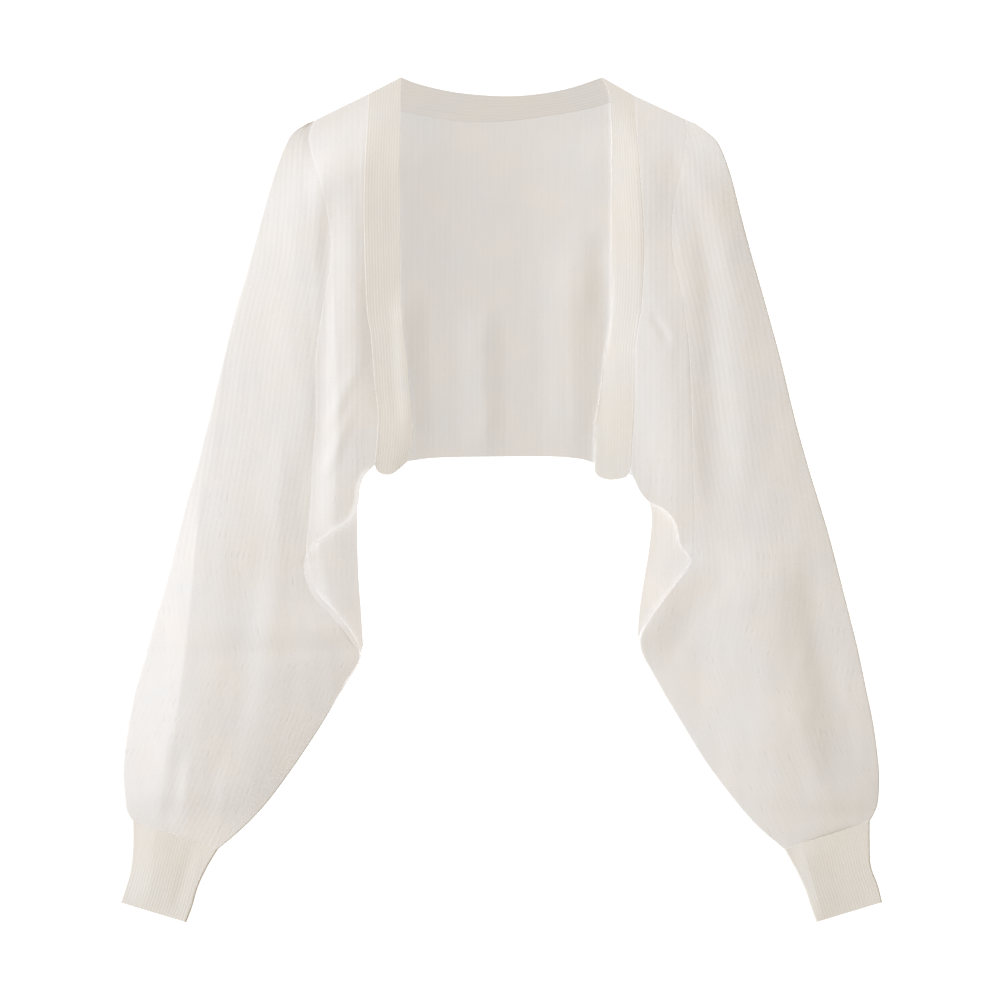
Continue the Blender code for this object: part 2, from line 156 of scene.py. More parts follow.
# %% Sleeve and cuff sections
Section = namedtuple("Section", "outer_x outer_y inner_x inner_y under puff")
SLEEVE_LEFT = [
    Section(-164, 319, -157, 322, 0.0, 0.0),
    Section(-177, 311, -163, 309, 0.5, 0.3),
    Section(-184, 299, -161, 295, 1.5, 0.8),
    Section(-193, 275, -154, 271, 3.0, 1.6),
    Section(-203, 241, -147, 241, 4.0, 2.4),
    Section(-215, 196, -144, 205, 4.0, 3.4),
    Section(-225, 164, -151, 164, 4.0, 3.8),
    Section(-237, 118, -157, 118, 4.0, 4.2),
    Section(-248, 72, -157, 71, 4.0, 4.6),
    Section(-258, 33, -160, 26, 4.0, 5.0),
    Section(-269, -4, -162, -13, 4.0, 5.5),
    Section(-278, -39, -165, -47, 4.0, 5.5),
    Section(-284, -64, -156, -79, 4.0, 5.5),
    Section(-294, -99, -138, -99, 4.0, 5.5),
    Section(-303, -134, -119, -131, 0.0, 5.5),
    Section(-311, -162, -132, -157, 0.0, 5.5),
    Section(-317, -194, -154, -194, 0.0, 5.5),
    Section(-321, -226, -178, -230, 0.0, 5.0),
    Section(-320, -250, -199, -258, 0.0, 4.6),
    Section(-318, -264, -220, -280, 0.0, 3.4),
    Section(-313, -273, -240, -297, 0.0, 3.0),
]
SLEEVE_RIGHT = [
    Section(164, 319, 157, 322, 0.0, 0.0),
    Section(174, 312, 158, 309, 0.5, 0.3),
    Section(185, 301, 155, 290, 1.5, 0.8),
    Section(195, 275, 149, 263, 3.0, 1.6),
    Section(203, 244, 145, 237, 4.0, 2.4),
    Section(213, 206, 146, 205, 4.0, 3.4),
    Section(225, 164, 155, 164, 4.0, 3.8),
    Section(238, 116, 160, 118, 4.0, 4.2),
    Section(250, 66, 162, 66, 4.0, 4.6),
    Section(263, 20, 163, 20, 4.0, 5.0),
    Section(277, -26, 164, -18, 4.0, 5.5),
    Section(286, -60, 162, -52, 4.0, 5.5),
    Section(295, -96, 152, -67, 4.0, 5.5),
    Section(303, -128, 136, -88, 4.0, 5.5),
    Section(310, -162, 117, -120, 0.0, 5.5),
    Section(316, -191, 132, -154, 0.0, 5.5),
    Section(320, -221, 152, -188, 0.0, 5.5),
    Section(321, -239, 173, -222, 0.0, 5.0),
    Section(320, -257, 193, -249, 0.0, 4.6),
    Section(317, -266, 215, -275, 0.0, 3.4),
    Section(313, -273, 240, -297, 0.0, 3.0),
]
UNDERARM_ROW = 14
NOTCH_ROW = 11
HEM_ROW = 9

CuffSection = namedtuple("CuffSection", "outer_x outer_y inner_x inner_y")
CUFF_LEFT = [
    CuffSection(-313, -273, -240, -297),
    CuffSection(-313, -292, -249, -312),
    CuffSection(-315, -314, -257, -329),
    CuffSection(-320, -332, -262, -346),
    CuffSection(-323.5, -342, -267, -359),
]
CUFF_RIGHT = [
    CuffSection(313, -273, 240, -297),
    CuffSection(313, -292, 250, -315),
    CuffSection(314, -311, 257, -330),
    CuffSection(320, -328, 262, -345),
    CuffSection(323.5, -342, 267, -359),
]
print("sleeve sections:", len(SLEEVE_LEFT), "and", len(SLEEVE_RIGHT))

# %% [markdown]
# ## Outlines of the flat pieces
# A knitter shapes these by adding and dropping stitches at the edges.  Seams and upright edges run from
# the neck down, hems and band ends from the arm inwards, and the neck's and the back's edges from left to
# right.  Pieces that are sewn together read the same list.

# %% Flat pieces: neck, bands, hems and the back's side drops
NECK_TOP = [
    (-85, 358), (-69, 352), (-43, 346), (-18, 343), (8, 342), (33, 344), (59, 349), (86, 358),
]
NECK_SEAM = [
    (-112, 344), (-99, 334), (-84, 329), (-52, 323), (-26, 320), (8, 321), (51, 327), (78, 332),
    (94, 337), (112, 343),
]
BAND_SEAM_LEFT = [
    (-112, 344), (-116, 263), (-115, 195), (-113, 157), (-110, 139), (-107, 100), (-104, 75),
    (-105, 50), (-107, 29),
]
BAND_EDGE_LEFT = [
    (-85, 358), (-86, 271), (-85, 212), (-84, 149), (-81, 128), (-77, 88), (-75, 55), (-79, 32),
]
BAND_END_LEFT = [
    (-107, 29), (-105, 24), (-100, 21), (-93, 21), (-87, 25), (-79, 32),
]
BAND_SEAM_RIGHT = [
    (112, 343), (117, 282), (121, 218), (119, 168), (116, 149), (113, 127), (113, 84), (111, 50),
    (110, 27),
]
BAND_EDGE_RIGHT = [
    (86, 358), (92, 343), (94, 313), (94, 237), (93, 161), (88, 120), (84, 88), (80, 60), (79, 32),
]
BAND_END_RIGHT = [
    (110, 27), (107, 19.5), (100, 17), (90, 16.5), (81, 21), (79, 32),
]
FRONT_HEM_LEFT = [
    (-165, -47), (-159, -40), (-151, -34), (-141, -27), (-132, -22), (-125, -15), (-121, -3),
    (-119.5, 9), (-116, 19), (-107, 29),
]
FRONT_HEM_RIGHT = [
    (162, -52), (158, -46), (152, -38), (149.5, -24), (144, -14), (136, -7), (127, -3), (121, 2),
    (115, 12), (110, 27),
]
BACK_HEM = [
    (-107, 29), (-94, 30), (-79, 32), (-54, 35), (-1, 36), (43, 36), (67, 34), (78, 31), (94, 27),
    (111, 20),
]
DROP_EDGE_LEFT = [
    (-107, 29), (-116, 20), (-121, 6), (-122, -6), (-122, -33), (-121, -66), (-119, -93), (-117, -124),
]
DROP_EDGE_RIGHT = [
    (111, 20), (117, 10), (124, 1), (128, -14), (126, -40), (122, -65), (118, -90), (116, -114),
]
SHOULDER_Y = 344.0
SHOULDER_X = 112.0
SHOULDER_SLOPE = 0.47
SHOULDER_EASE = 65.0  # the layers part over this length below the shoulder line
print("turns along the neck seam:", len(NECK_SEAM), "and along the back's hem:", len(BACK_HEM))


# %% [markdown]
# ## Folds
# Cloth that was picked up and laid down keeps soft ridges.  Each is one row here: a line of three turns
# that runs down the garment, how far the ridge falls off to the west and to the east of it, and its
# height (a trough has a height below zero).  Uneven widths matter: a broad west side and a steep east
# side read as one lit band with a sharp shadow.

# %% Fold tables
Fold = namedtuple("Fold", "x0 y0 x1 y1 x2 y2 west east height sharp", defaults=[0.0])
FOLD_FADE = 0.3  # share of its length over which each end of a fold dies away
FOLD_POINTS = 25
SHARP_POWER = 1.5
UPPER_FOLDS = [
    # the left front: its crown, the lip over the sleeve, the slope under the shoulder, the ridge by the band
    Fold(-130, 275, -125, 160, -120, 70, 25, 15, 1.0),
    Fold(-145, 240, -138, 70, -145, -70, 22, 45, 2.8, 0.5),
    Fold(-150, 375, -150, 300, -145, 210, 20, 42, 1.8),
    Fold(-118, 350, -118, 160, -110, 20, 30, 18, 0.8),
    # the short creases that cross the lip
    Fold(-120, 115, -135, 85, -145, 55, 10, 8, 0.4, 0.5),
    Fold(-125, 80, -138, 45, -152, 10, 10, 8, 0.5, 0.5),
    # the ridge along the left armhole, and two faint long ones that run on down the sleeve
    Fold(-158, 300, -160, 150, -165, 0, 45, 15, 1.2),
    Fold(-185, 70, -188, -40, -195, -130, 22, 18, 0.6, 0.3),
    Fold(-195, -80, -200, -175, -210, -255, 22, 30, 0.4, 0.3),
    # the left sleeve's outer half: a low swell, the ridge between light and shade, a hollow beside it
    Fold(-225, 210, -240, 80, -255, -20, 30, 35, 0.8, 0.5),
    Fold(-250, 60, -265, -110, -285, -260, 45, 80, 3.6, 0.8),
    Fold(-210, -30, -220, -125, -235, -250, 25, 25, -0.6),
    # the gathers above the left cuff
    Fold(-280, -185, -285, -230, -292, -285, 25, 15, 0.7, 0.5),
    Fold(-262, -205, -268, -250, -274, -290, 10, 10, 0.4, 0.4),
    Fold(-240, -205, -245, -245, -255, -290, 15, 15, -0.5),
    # the right front: its crown, the ridge beside the band and the small crease that crosses there
    Fold(150, 260, 158, 100, 165, -45, 35, 25, 1.8, 0.3),
    Fold(118, 350, 124, 180, 158, -65, 35, 35, 2.2),
    Fold(125, 160, 135, 145, 145, 130, 6, 6, -0.6),
    # the right armhole's shaded side, the ridge that curves down from the shoulder and a faint one beside it
    Fold(165, 280, 178, 150, 185, -20, 20, 35, -0.7),
    Fold(150, 325, 178, 255, 205, 140, 20, 30, 1.2, 0.3),
    Fold(190, 215, 200, 90, 210, -30, 18, 30, 0.6, 0.3),
    # the right sleeve's balloon: the ridge at its free edge, the puff, the gather and the long outer hollow
    Fold(168, -36, 138, -84, 102, -141, 10, 36, 2.6, 0.4),
    Fold(212, -25, 230, -130, 262, -255, 75, 50, 3.0),
    Fold(245, -160, 262, -215, 285, -285, 16, 18, 0.5, 0.3),
    Fold(255, -40, 272, -130, 300, -265, 20, 28, -0.6),
]
LOWER_FOLDS = [
    # the back's upright folds above its hem, from left to right
    Fold(-85, 190, -84, 115, -80, 20, 8, 26, 1.9, 0.4),
    Fold(-15, 175, -14, 100, -12, 20, 26, 20, 1.2, 0.4),
    Fold(60, 240, 60, 130, 62, 10, 30, 35, 1.5, 0.4),
    Fold(85, 230, 87, 190, 87, 140, 20, 14, -0.7),
    # the slope away from the left band below the neck, and the rise towards the right band
    Fold(-90, 370, -90, 250, -95, 130, 10, 60, 1.0, 0.5),
    Fold(105, 345, 105, 250, 100, 130, 85, 10, 2.6, 0.8),
    # the two side drops
    Fold(-155, 40, -150, -50, -130, -130, 12, 40, 1.0),
    Fold(165, 40, 160, -50, 130, -125, 42, 12, 2.4),
]


print("folds:", len(UPPER_FOLDS), "in the upper layer and", len(LOWER_FOLDS), "in the lower one")


# %% [markdown]
# ## Adding the folds up
# A fold falls off from its crest as a soft cosine, or more sharply where the cloth was creased, and dies
# away towards both ends.  Where folds cross, the cloth takes their sum.  Sculpting could do this too, but
# a row can be read and changed.

# %% The height of the folds at any point
def fold_heights(folds, points):
    """Sum of all the folds at an array of points."""
    total = np.zeros(points.shape[:-1])
    for fold in folds:
        line = spline([fold[0:2], fold[2:4], fold[4:6]], np.linspace(0, 2, FOLD_POINTS))
        reach = max(fold.west, fold.east)
        near = ((points >= line.min(0) - reach) & (points <= line.max(0) + reach)).all(-1)
        spot = points[near]
        if not len(spot):
            continue
        best, side, place = np.full(len(spot), 1e9), np.zeros(len(spot)), np.zeros(len(spot))
        for k, (a, b) in enumerate(zip(line, line[1:])):
            run = b - a
            t = np.clip((spot - a) @ run / (run @ run), 0, 1)
            off = spot - a - t[:, None] * run
            gap = np.linalg.norm(off, axis=1)
            closer = gap < best
            best[closer] = gap[closer]
            side[closer] = (run[0] * off[:, 1] - run[1] * off[:, 0])[closer]
            place[closer] = ((k + t) / (len(line) - 1))[closer]
        width = np.where(side > 0, fold.east, fold.west)
        aside = np.clip(best / width, 0, 1)
        across = (1 - fold.sharp) * np.cos(pi / 2 * aside) ** 2 + fold.sharp * (1 - aside) ** SHARP_POWER
        begun = fold.height * across * smooth(place / FOLD_FADE)
        total[near] += begun * smooth((1 - place) / FOLD_FADE)
    return total


crest = np.array([UPPER_FOLDS[0][2:4]])
print("the first fold is", round(fold_heights(UPPER_FOLDS[:1], crest)[0], 2), "mm high at its middle turn")


# %% [markdown]
# ## How high each layer lies
# The back lies on the table and carries the fronts; between them is a little air, which closes along the
# shoulder seams.  A trough may sink to the table but not through it.

# %% Layer heights, at the middle of the cloth's thickness
BACK_LIFT = 1.6
FRONT_LIFT = 2.3
SOFT_LANDING = 0.6  # how softly a falling layer comes to lie on what is below it
CLOSED_AIR = 0.3  # between two layers where they close up
THIN_AIR = 0.2  # the same inside a sleeve and under the neckband


def shoulder_ease(points):
    """0 on the shoulder line, 1 a little below it."""
    line = SHOULDER_Y - SHOULDER_SLOPE * np.maximum(np.abs(points[..., 0]) - SHOULDER_X, 0)
    return smooth((line - points[..., 1]) / SHOULDER_EASE)


def at_least(level, floor):
    """The greater of the two, with a soft change from one to the other."""
    return (level + floor + np.sqrt((level - floor) ** 2 + SOFT_LANDING ** 2)) / 2


def lower_level(points):
    raised = (BACK_LIFT + fold_heights(LOWER_FOLDS, points)) * shoulder_ease(points)
    return KNIT_WALL / 2 + np.maximum(at_least(raised, 0) - SOFT_LANDING / 4, 0)


def upper_level(points):
    ease = shoulder_ease(points)
    lift = LAYER_AIR + FRONT_LIFT + fold_heights(UPPER_FOLDS, points)
    level = KNIT_WALL * 1.5 + CLOSED_AIR + lift * ease
    return at_least(level, lower_level(points) + KNIT_WALL + CLOSED_AIR)


print("at the left front's crown the back lies at", round(lower_level(crest)[0], 1), "mm, the front at",
      round(upper_level(crest)[0], 1))


# %% [markdown]
# ## From points to cloth
# Each piece is first a grid of points in the middle of its cloth.  The grid becomes a mesh with a UV map
# in metres, so yarn and ribs follow the cloth and not the table, and with a `wale` value for the relief
# below.

# %% Grids to meshes
Grid = namedtuple("Grid", "points wale course faces")


def grid(plan, height, wale, course, turned_over=False):
    """Points in mm with knit coordinates; it faces up where its columns run east and its rows south."""
    points = np.concatenate([plan, height[..., None]], axis=-1)
    down, wide = wale.shape
    index = np.arange(down * wide).reshape(down, wide)
    faces = np.stack([index[:-1, :-1], index[1:, :-1], index[1:, 1:], index[:-1, 1:]], axis=-1)
    if turned_over:
        faces = faces[..., ::-1]
    return Grid(points.reshape(-1, 3), wale.ravel(), course.ravel(), faces.reshape(-1, 4))


def mesh_from(name, grids):
    """One mesh from several grids, with points that meet made one."""
    points = np.concatenate([g.points for g in grids])
    wale = np.concatenate([g.wale for g in grids])
    course = np.concatenate([g.course for g in grids])
    starts = np.cumsum([0] + [len(g.points) for g in grids[:-1]])
    faces = np.concatenate([g.faces + start for g, start in zip(grids, starts)])
    used = np.unique(faces)
    _, first, same = np.unique(np.round(points[used], 2), axis=0, return_index=True, return_inverse=True)
    new_number = np.full(len(points), -1)
    new_number[used] = same.ravel()
    corners = new_number[faces]
    whole = np.array([len(set(face)) == 4 for face in corners.tolist()])
    faces, corners = faces[whole], corners[whole]
    mesh = bpy.data.meshes.new(name)
    mesh.from_pydata((points[used][first] * MM).tolist(), [], corners.tolist())
    mesh.attributes.new("wale", "FLOAT", "POINT").data.foreach_set("value", wale[used][first] * MM)
    places = np.stack([wale[faces], course[faces]], axis=-1) * MM
    mesh.uv_layers.new(name="knit").uv.foreach_set("vector", places.astype(np.float32).ravel())
    mesh.shade_smooth()
    return mesh


flat = np.zeros((3, 4))
print("a grid of 3 by 4 points has", len(grid(np.zeros((3, 4, 2)), flat, flat, flat).faces), "faces")


# %% [markdown]
# ## Relief that follows the wales
# A rib stands up and sinks once for every pair of wales, and both faces of the cloth do so together.  A
# Geometry Nodes tree moves the points by their `wale` value, with pitch and depth as inputs, and adds the
# slight unevenness of washed wool.  Solidify then gives the wall, and the result is kept as a plain mesh.

# %% Small helpers for node trees
def joined(tree, value, socket):
    """Links one socket to another, or sets it to a plain value."""
    if isinstance(value, bpy.types.NodeSocket):
        tree.links.new(value, socket)
    else:
        socket.default_value = value


def maths(tree, operation, *values):
    node = tree.nodes.new("ShaderNodeMath")
    node.operation = operation
    for value, socket in zip(values, node.inputs):
        joined(tree, value, socket)
    return node.outputs[0]


def vector_maths(tree, operation, *values):
    node = tree.nodes.new("ShaderNodeVectorMath")
    node.operation = operation
    for value, socket in zip(values, node.inputs):
        joined(tree, value, socket)
    return node.outputs[0]


def noise(tree, place, detail=2.0):
    node = tree.nodes.new("ShaderNodeTexNoise")
    node.inputs["Scale"].default_value = 1.0
    node.inputs["Detail"].default_value = detail
    tree.links.new(place, node.inputs["Vector"])
    return node.outputs[0]


def new_tree(name, numbers):
    """A Geometry Nodes tree that takes a mesh, these numbers and a material, and gives a mesh back."""
    tree = bpy.data.node_groups.new(name, "GeometryNodeTree")
    tree.interface.new_socket("Mesh", in_out="INPUT", socket_type="NodeSocketGeometry")
    for number in numbers:
        tree.interface.new_socket(number, in_out="INPUT", socket_type="NodeSocketFloat")
    tree.interface.new_socket("Material", in_out="INPUT", socket_type="NodeSocketMaterial")
    tree.interface.new_socket("Mesh", in_out="OUTPUT", socket_type="NodeSocketGeometry")
    return tree, tree.nodes.new("NodeGroupInput").outputs


def finish_tree(tree, shape, material):
    """Ends a tree in real faces that carry the material."""
    real = tree.nodes.new("GeometryNodeRealizeInstances")
    tree.links.new(shape, real.inputs[0])
    painted = tree.nodes.new("GeometryNodeSetMaterial")
    tree.links.new(real.outputs[0], painted.inputs["Geometry"])
    tree.links.new(material, painted.inputs["Material"])
    tree.links.new(painted.outputs[0], tree.nodes.new("NodeGroupOutput").inputs[0])


def add_nodes(piece, tree, **values):
    """Puts the tree on a piece and sets its inputs by their identifiers."""
    modifier = piece.modifiers.new(tree.name, "NODES")
    modifier.node_group = tree
    for item in tree.interface.items_tree:
        if item.in_out == "INPUT" and item.name in values:
            modifier[item.identifier] = values[item.name]


def made_plain(piece):
    """Swaps the piece's mesh for what its modifiers make of it, and takes them off."""
    depsgraph = bpy.context.evaluated_depsgraph_get()
    done = bpy.data.meshes.new_from_object(piece.evaluated_get(depsgraph), depsgraph=depsgraph)
    piece.modifiers.clear()
    piece.data = done
    return done


print("node helpers: maths, vectors, noise, and a tree's start, end and use")


# %% [markdown]
# ## Ribs and wales as one node tree
# On the machine a rib is a change between face and back stitches.  Here it is a flattened sine over the
# distance across the wales.  The unevenness fades out near the table, so it doesn't lift what rests
# there.

# %% The relief tree
RIB_SQUARE = 1.5  # a higher value gives a rib a flatter top
UNEVEN_ACROSS = 1 / (20 * MM)
UNEVEN_DOWN = 1 / (55 * MM)
TABLE_FADE_FROM = 1.2 * MM
TABLE_FADE_TO = 4.0 * MM


def relief_tree():
    tree, given = new_tree("knit_relief", ("Pitch", "Depth", "Unevenness"))
    nodes, links = tree.nodes, tree.links
    wale = nodes.new("GeometryNodeInputNamedAttribute")
    wale.inputs["Name"].default_value = "wale"
    turns = maths(tree, "DIVIDE", wale.outputs["Attribute"], given["Pitch"])
    wave = maths(tree, "SINE", maths(tree, "MULTIPLY", turns, 2 * pi))
    flat_top = maths(tree, "TANH", maths(tree, "MULTIPLY", wave, RIB_SQUARE))
    rib = maths(tree, "MULTIPLY", flat_top, given["Depth"])
    place = nodes.new("GeometryNodeInputPosition").outputs[0]
    stretched = vector_maths(tree, "MULTIPLY", place, (UNEVEN_ACROSS, UNEVEN_DOWN, UNEVEN_DOWN))
    uneven = noise(tree, stretched, 1.0)
    height = nodes.new("ShaderNodeSeparateXYZ")
    links.new(place, height.inputs[0])
    above_table = nodes.new("ShaderNodeMapRange")
    links.new(height.outputs["Z"], above_table.inputs["Value"])
    above_table.inputs["From Min"].default_value = TABLE_FADE_FROM
    above_table.inputs["From Max"].default_value = TABLE_FADE_TO
    free = maths(tree, "MULTIPLY", maths(tree, "SUBTRACT", uneven, 0.5), given["Unevenness"])
    free = maths(tree, "MULTIPLY", free, above_table.outputs[0])
    push = nodes.new("ShaderNodeVectorMath")
    push.operation = "SCALE"
    links.new(nodes.new("GeometryNodeInputNormal").outputs[0], push.inputs[0])
    links.new(maths(tree, "ADD", rib, free), push.inputs["Scale"])
    moved = nodes.new("GeometryNodeSetPosition")
    links.new(given["Mesh"], moved.inputs["Geometry"])
    links.new(push.outputs[0], moved.inputs["Offset"])
    finish_tree(tree, moved.outputs[0], given["Material"])
    return tree


RELIEF = relief_tree()
print("relief tree:", len(RELIEF.nodes), "nodes")


# %% [markdown]
# ## Giving the cloth its thickness
# Knit is one thin wall with no lining.  The middle surface grows by half the wall to both sides, so a
# seam keeps its place, and what would reach below the table is set level with it.  Two modelled faces
# would do, but Solidify keeps them evenly apart.

# %% A wall of cloth from an open mesh
def cloth(name, mesh, wall, pitch, depth, unevenness, material, node=None):
    """Gives the mesh its relief and thickness; with a node name, it stands for that node of the part."""
    piece = bpy.data.objects.new(name, mesh)
    bpy.context.scene.collection.objects.link(piece)
    add_nodes(piece, RELIEF, Pitch=pitch * MM, Depth=depth * MM, Unevenness=unevenness * MM,
              Material=material)
    shell = piece.modifiers.new("wall", "SOLIDIFY")
    shell.thickness = wall * MM
    shell.offset = 0.0
    shell.use_quality_normals = True
    done = made_plain(piece)
    places = np.zeros(len(done.vertices) * 3)
    done.vertices.foreach_get("co", places)
    places[2::3] = np.maximum(places[2::3], 0.0)
    done.vertices.foreach_set("co", places)
    done.update()
    done.set_sharp_from_angle(angle=CUT_ANGLE)
    done.calc_loop_triangles()
    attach(piece, "root")
    if node:
        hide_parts(node)
    print(f"{name}: {len(done.loop_triangles)} triangles, up to {places[2::3].max() / MM:.1f} mm high")
    return piece


print("walls:", KNIT_WALL, "mm of knit and", RIB_WALL, "mm of rib")


# %% [markdown]
# ## Yarn
# The cardigan is one off-white yarn.  What the eye reads is the column of small V stitches, the faint
# upright lines between groups of wales, scattered short dashes where the knit opens a little, and a slow
# change from cool to warm white.  The dashes and the grooves between the stitches carry painted shade.
# All of it follows the cloth through the UV map in metres.

# %% Stitches and dashes
LEG_SLANT = 1.2  # slope of a leg, in rows of stitches for each stitch width
LEG_DIP = 0.25  # height left between two rows
DASH_WIDE = 5.0
DASH_TALL = 16.0
DASH_SIDES = (0.10, 0.22)  # a dash fades out over these shares of its cell, from its middle
DASH_ENDS = (0.12, 0.22)
DASH_CHOICE = (0.40, 0.60)  # limits between no dash and a full one
PATCH_CHOICE = (0.42, 0.62)
PATCH_WIDE = 26.0
PATCH_TALL = 60.0
DASH_DRAW = 3.7  # another value draws other dashes


def mapped(tree, value, from_low, from_high, to_low, to_high):
    node = tree.nodes.new("ShaderNodeMapRange")
    node.interpolation_type = "SMOOTHSTEP"
    joined(tree, value, node.inputs["Value"])
    names = ("From Min", "From Max", "To Min", "To Max")
    for name, number in zip(names, (from_low, from_high, to_low, to_high)):
        node.inputs[name].default_value = number
    return node.outputs[0]


def packed(tree, x, y, z=0.0):
    node = tree.nodes.new("ShaderNodeCombineXYZ")
    for value, socket in zip((x, y, z), node.inputs):
        joined(tree, value, socket)
    return node.outputs[0]


def stitch_height(tree, wale, course):
    """Two slanted legs of yarn in every stitch cell, 0 in the grooves and 1 on the yarn."""
    column = maths(tree, "DIVIDE", wale, STITCH_WIDE)
    side = maths(tree, "ABSOLUTE", maths(tree, "SUBTRACT", maths(tree, "FRACT", column), 0.5))
    across = maths(tree, "SINE", maths(tree, "MULTIPLY", side, 2 * pi))
    rows_down = maths(tree, "DIVIDE", course, STITCH_TALL)
    row = maths(tree, "ADD", rows_down, maths(tree, "MULTIPLY", side, LEG_SLANT))
    wave = maths(tree, "COSINE", maths(tree, "MULTIPLY", row, 2 * pi))
    leg = mapped(tree, wave, -1.0, 1.0, LEG_DIP, 1.0)
    return maths(tree, "MULTIPLY", maths(tree, "ABSOLUTE", across), leg)


def dashes(tree, wale, course):
    """Short upright marks in bricklike rows, only in patches."""
    row = maths(tree, "DIVIDE", course, DASH_TALL)
    shift = maths(tree, "MULTIPLY", maths(tree, "MODULO", maths(tree, "FLOOR", row), 2.0), 0.5)
    column = maths(tree, "ADD", maths(tree, "DIVIDE", wale, DASH_WIDE), shift)
    aside = maths(tree, "ABSOLUTE", maths(tree, "SUBTRACT", maths(tree, "FRACT", column), 0.5))
    upright = maths(tree, "ABSOLUTE", maths(tree, "SUBTRACT", maths(tree, "FRACT", row), 0.5))
    mark = maths(tree, "MULTIPLY", mapped(tree, aside, *DASH_SIDES, 1.0, 0.0),
                 mapped(tree, upright, *DASH_ENDS, 1.0, 0.0))
    one = noise(tree, packed(tree, maths(tree, "FLOOR", column), maths(tree, "FLOOR", row), DASH_DRAW), 0.0)
    region = packed(tree, maths(tree, "DIVIDE", wale, PATCH_WIDE), maths(tree, "DIVIDE", course, PATCH_TALL))
    patch = noise(tree, region, 1.0)
    chosen = maths(tree, "MULTIPLY", mapped(tree, one, *DASH_CHOICE, 0.0, 1.0),
                   mapped(tree, patch, *PATCH_CHOICE, 0.0, 1.0))
    return maths(tree, "MULTIPLY", mark, chosen)


print("a stitch is", STITCH_WIDE, "by", STITCH_TALL, "mm, the cell of a dash", DASH_WIDE, "by", DASH_TALL)


# %% [markdown]
# ## One yarn, four finishes
# The fronts and sleeves show the knit side, the back its purl side, which is duller and also carries
# painted shade from the fronts that lie over it, and the ribs are denser.  The colours are set beside the
# photograph, and so is the painted shade that darkens the back towards its left and the painted light that
# leaves its drops paler.

# %% Knit materials
STREAK = 0.05
STREAK_WIDE = 2.2
STREAK_TALL = 45.0
MOTTLE = 0.04
MOTTLE_SIZE = 45.0
LINE_SHADE = 0.004
# painted shade in the grooves between the legs of yarn
GROOVE_PAINTED_SHADE = 0.03
# painted shade in the dashes, where the knit opens onto the shaded layer below
DASH_PAINTED_SHADE = 0.035
FEW_DASHES = 0.3  # share of the dashes' strength that is left towards the shoulders
DASHES_THIN_OUT = (-0.06, 0.10)  # metres along Y
# painted shade darkens the back towards its left over this span
PAINTED_SHADE_ACROSS = (-0.1, 0.1)  # metres along X
# painted light pales the back's side drops below this span
PAINTED_LIGHT_BELOW = (-0.01, 0.03)  # metres along Y
TINT_CHANGE = (0.3, 0.7)
SPECULAR = 0.2
SHEEN = 0.12
SHEEN_ROUGHNESS = 0.5
BUMP_STRENGTH = 0.35
BUMP_DEPTH = 0.25
COOL_TINT = (0.992, 1.0, 1.012, 1.0)
WARM_TINT = (1.012, 1.0, 0.985, 1.0)


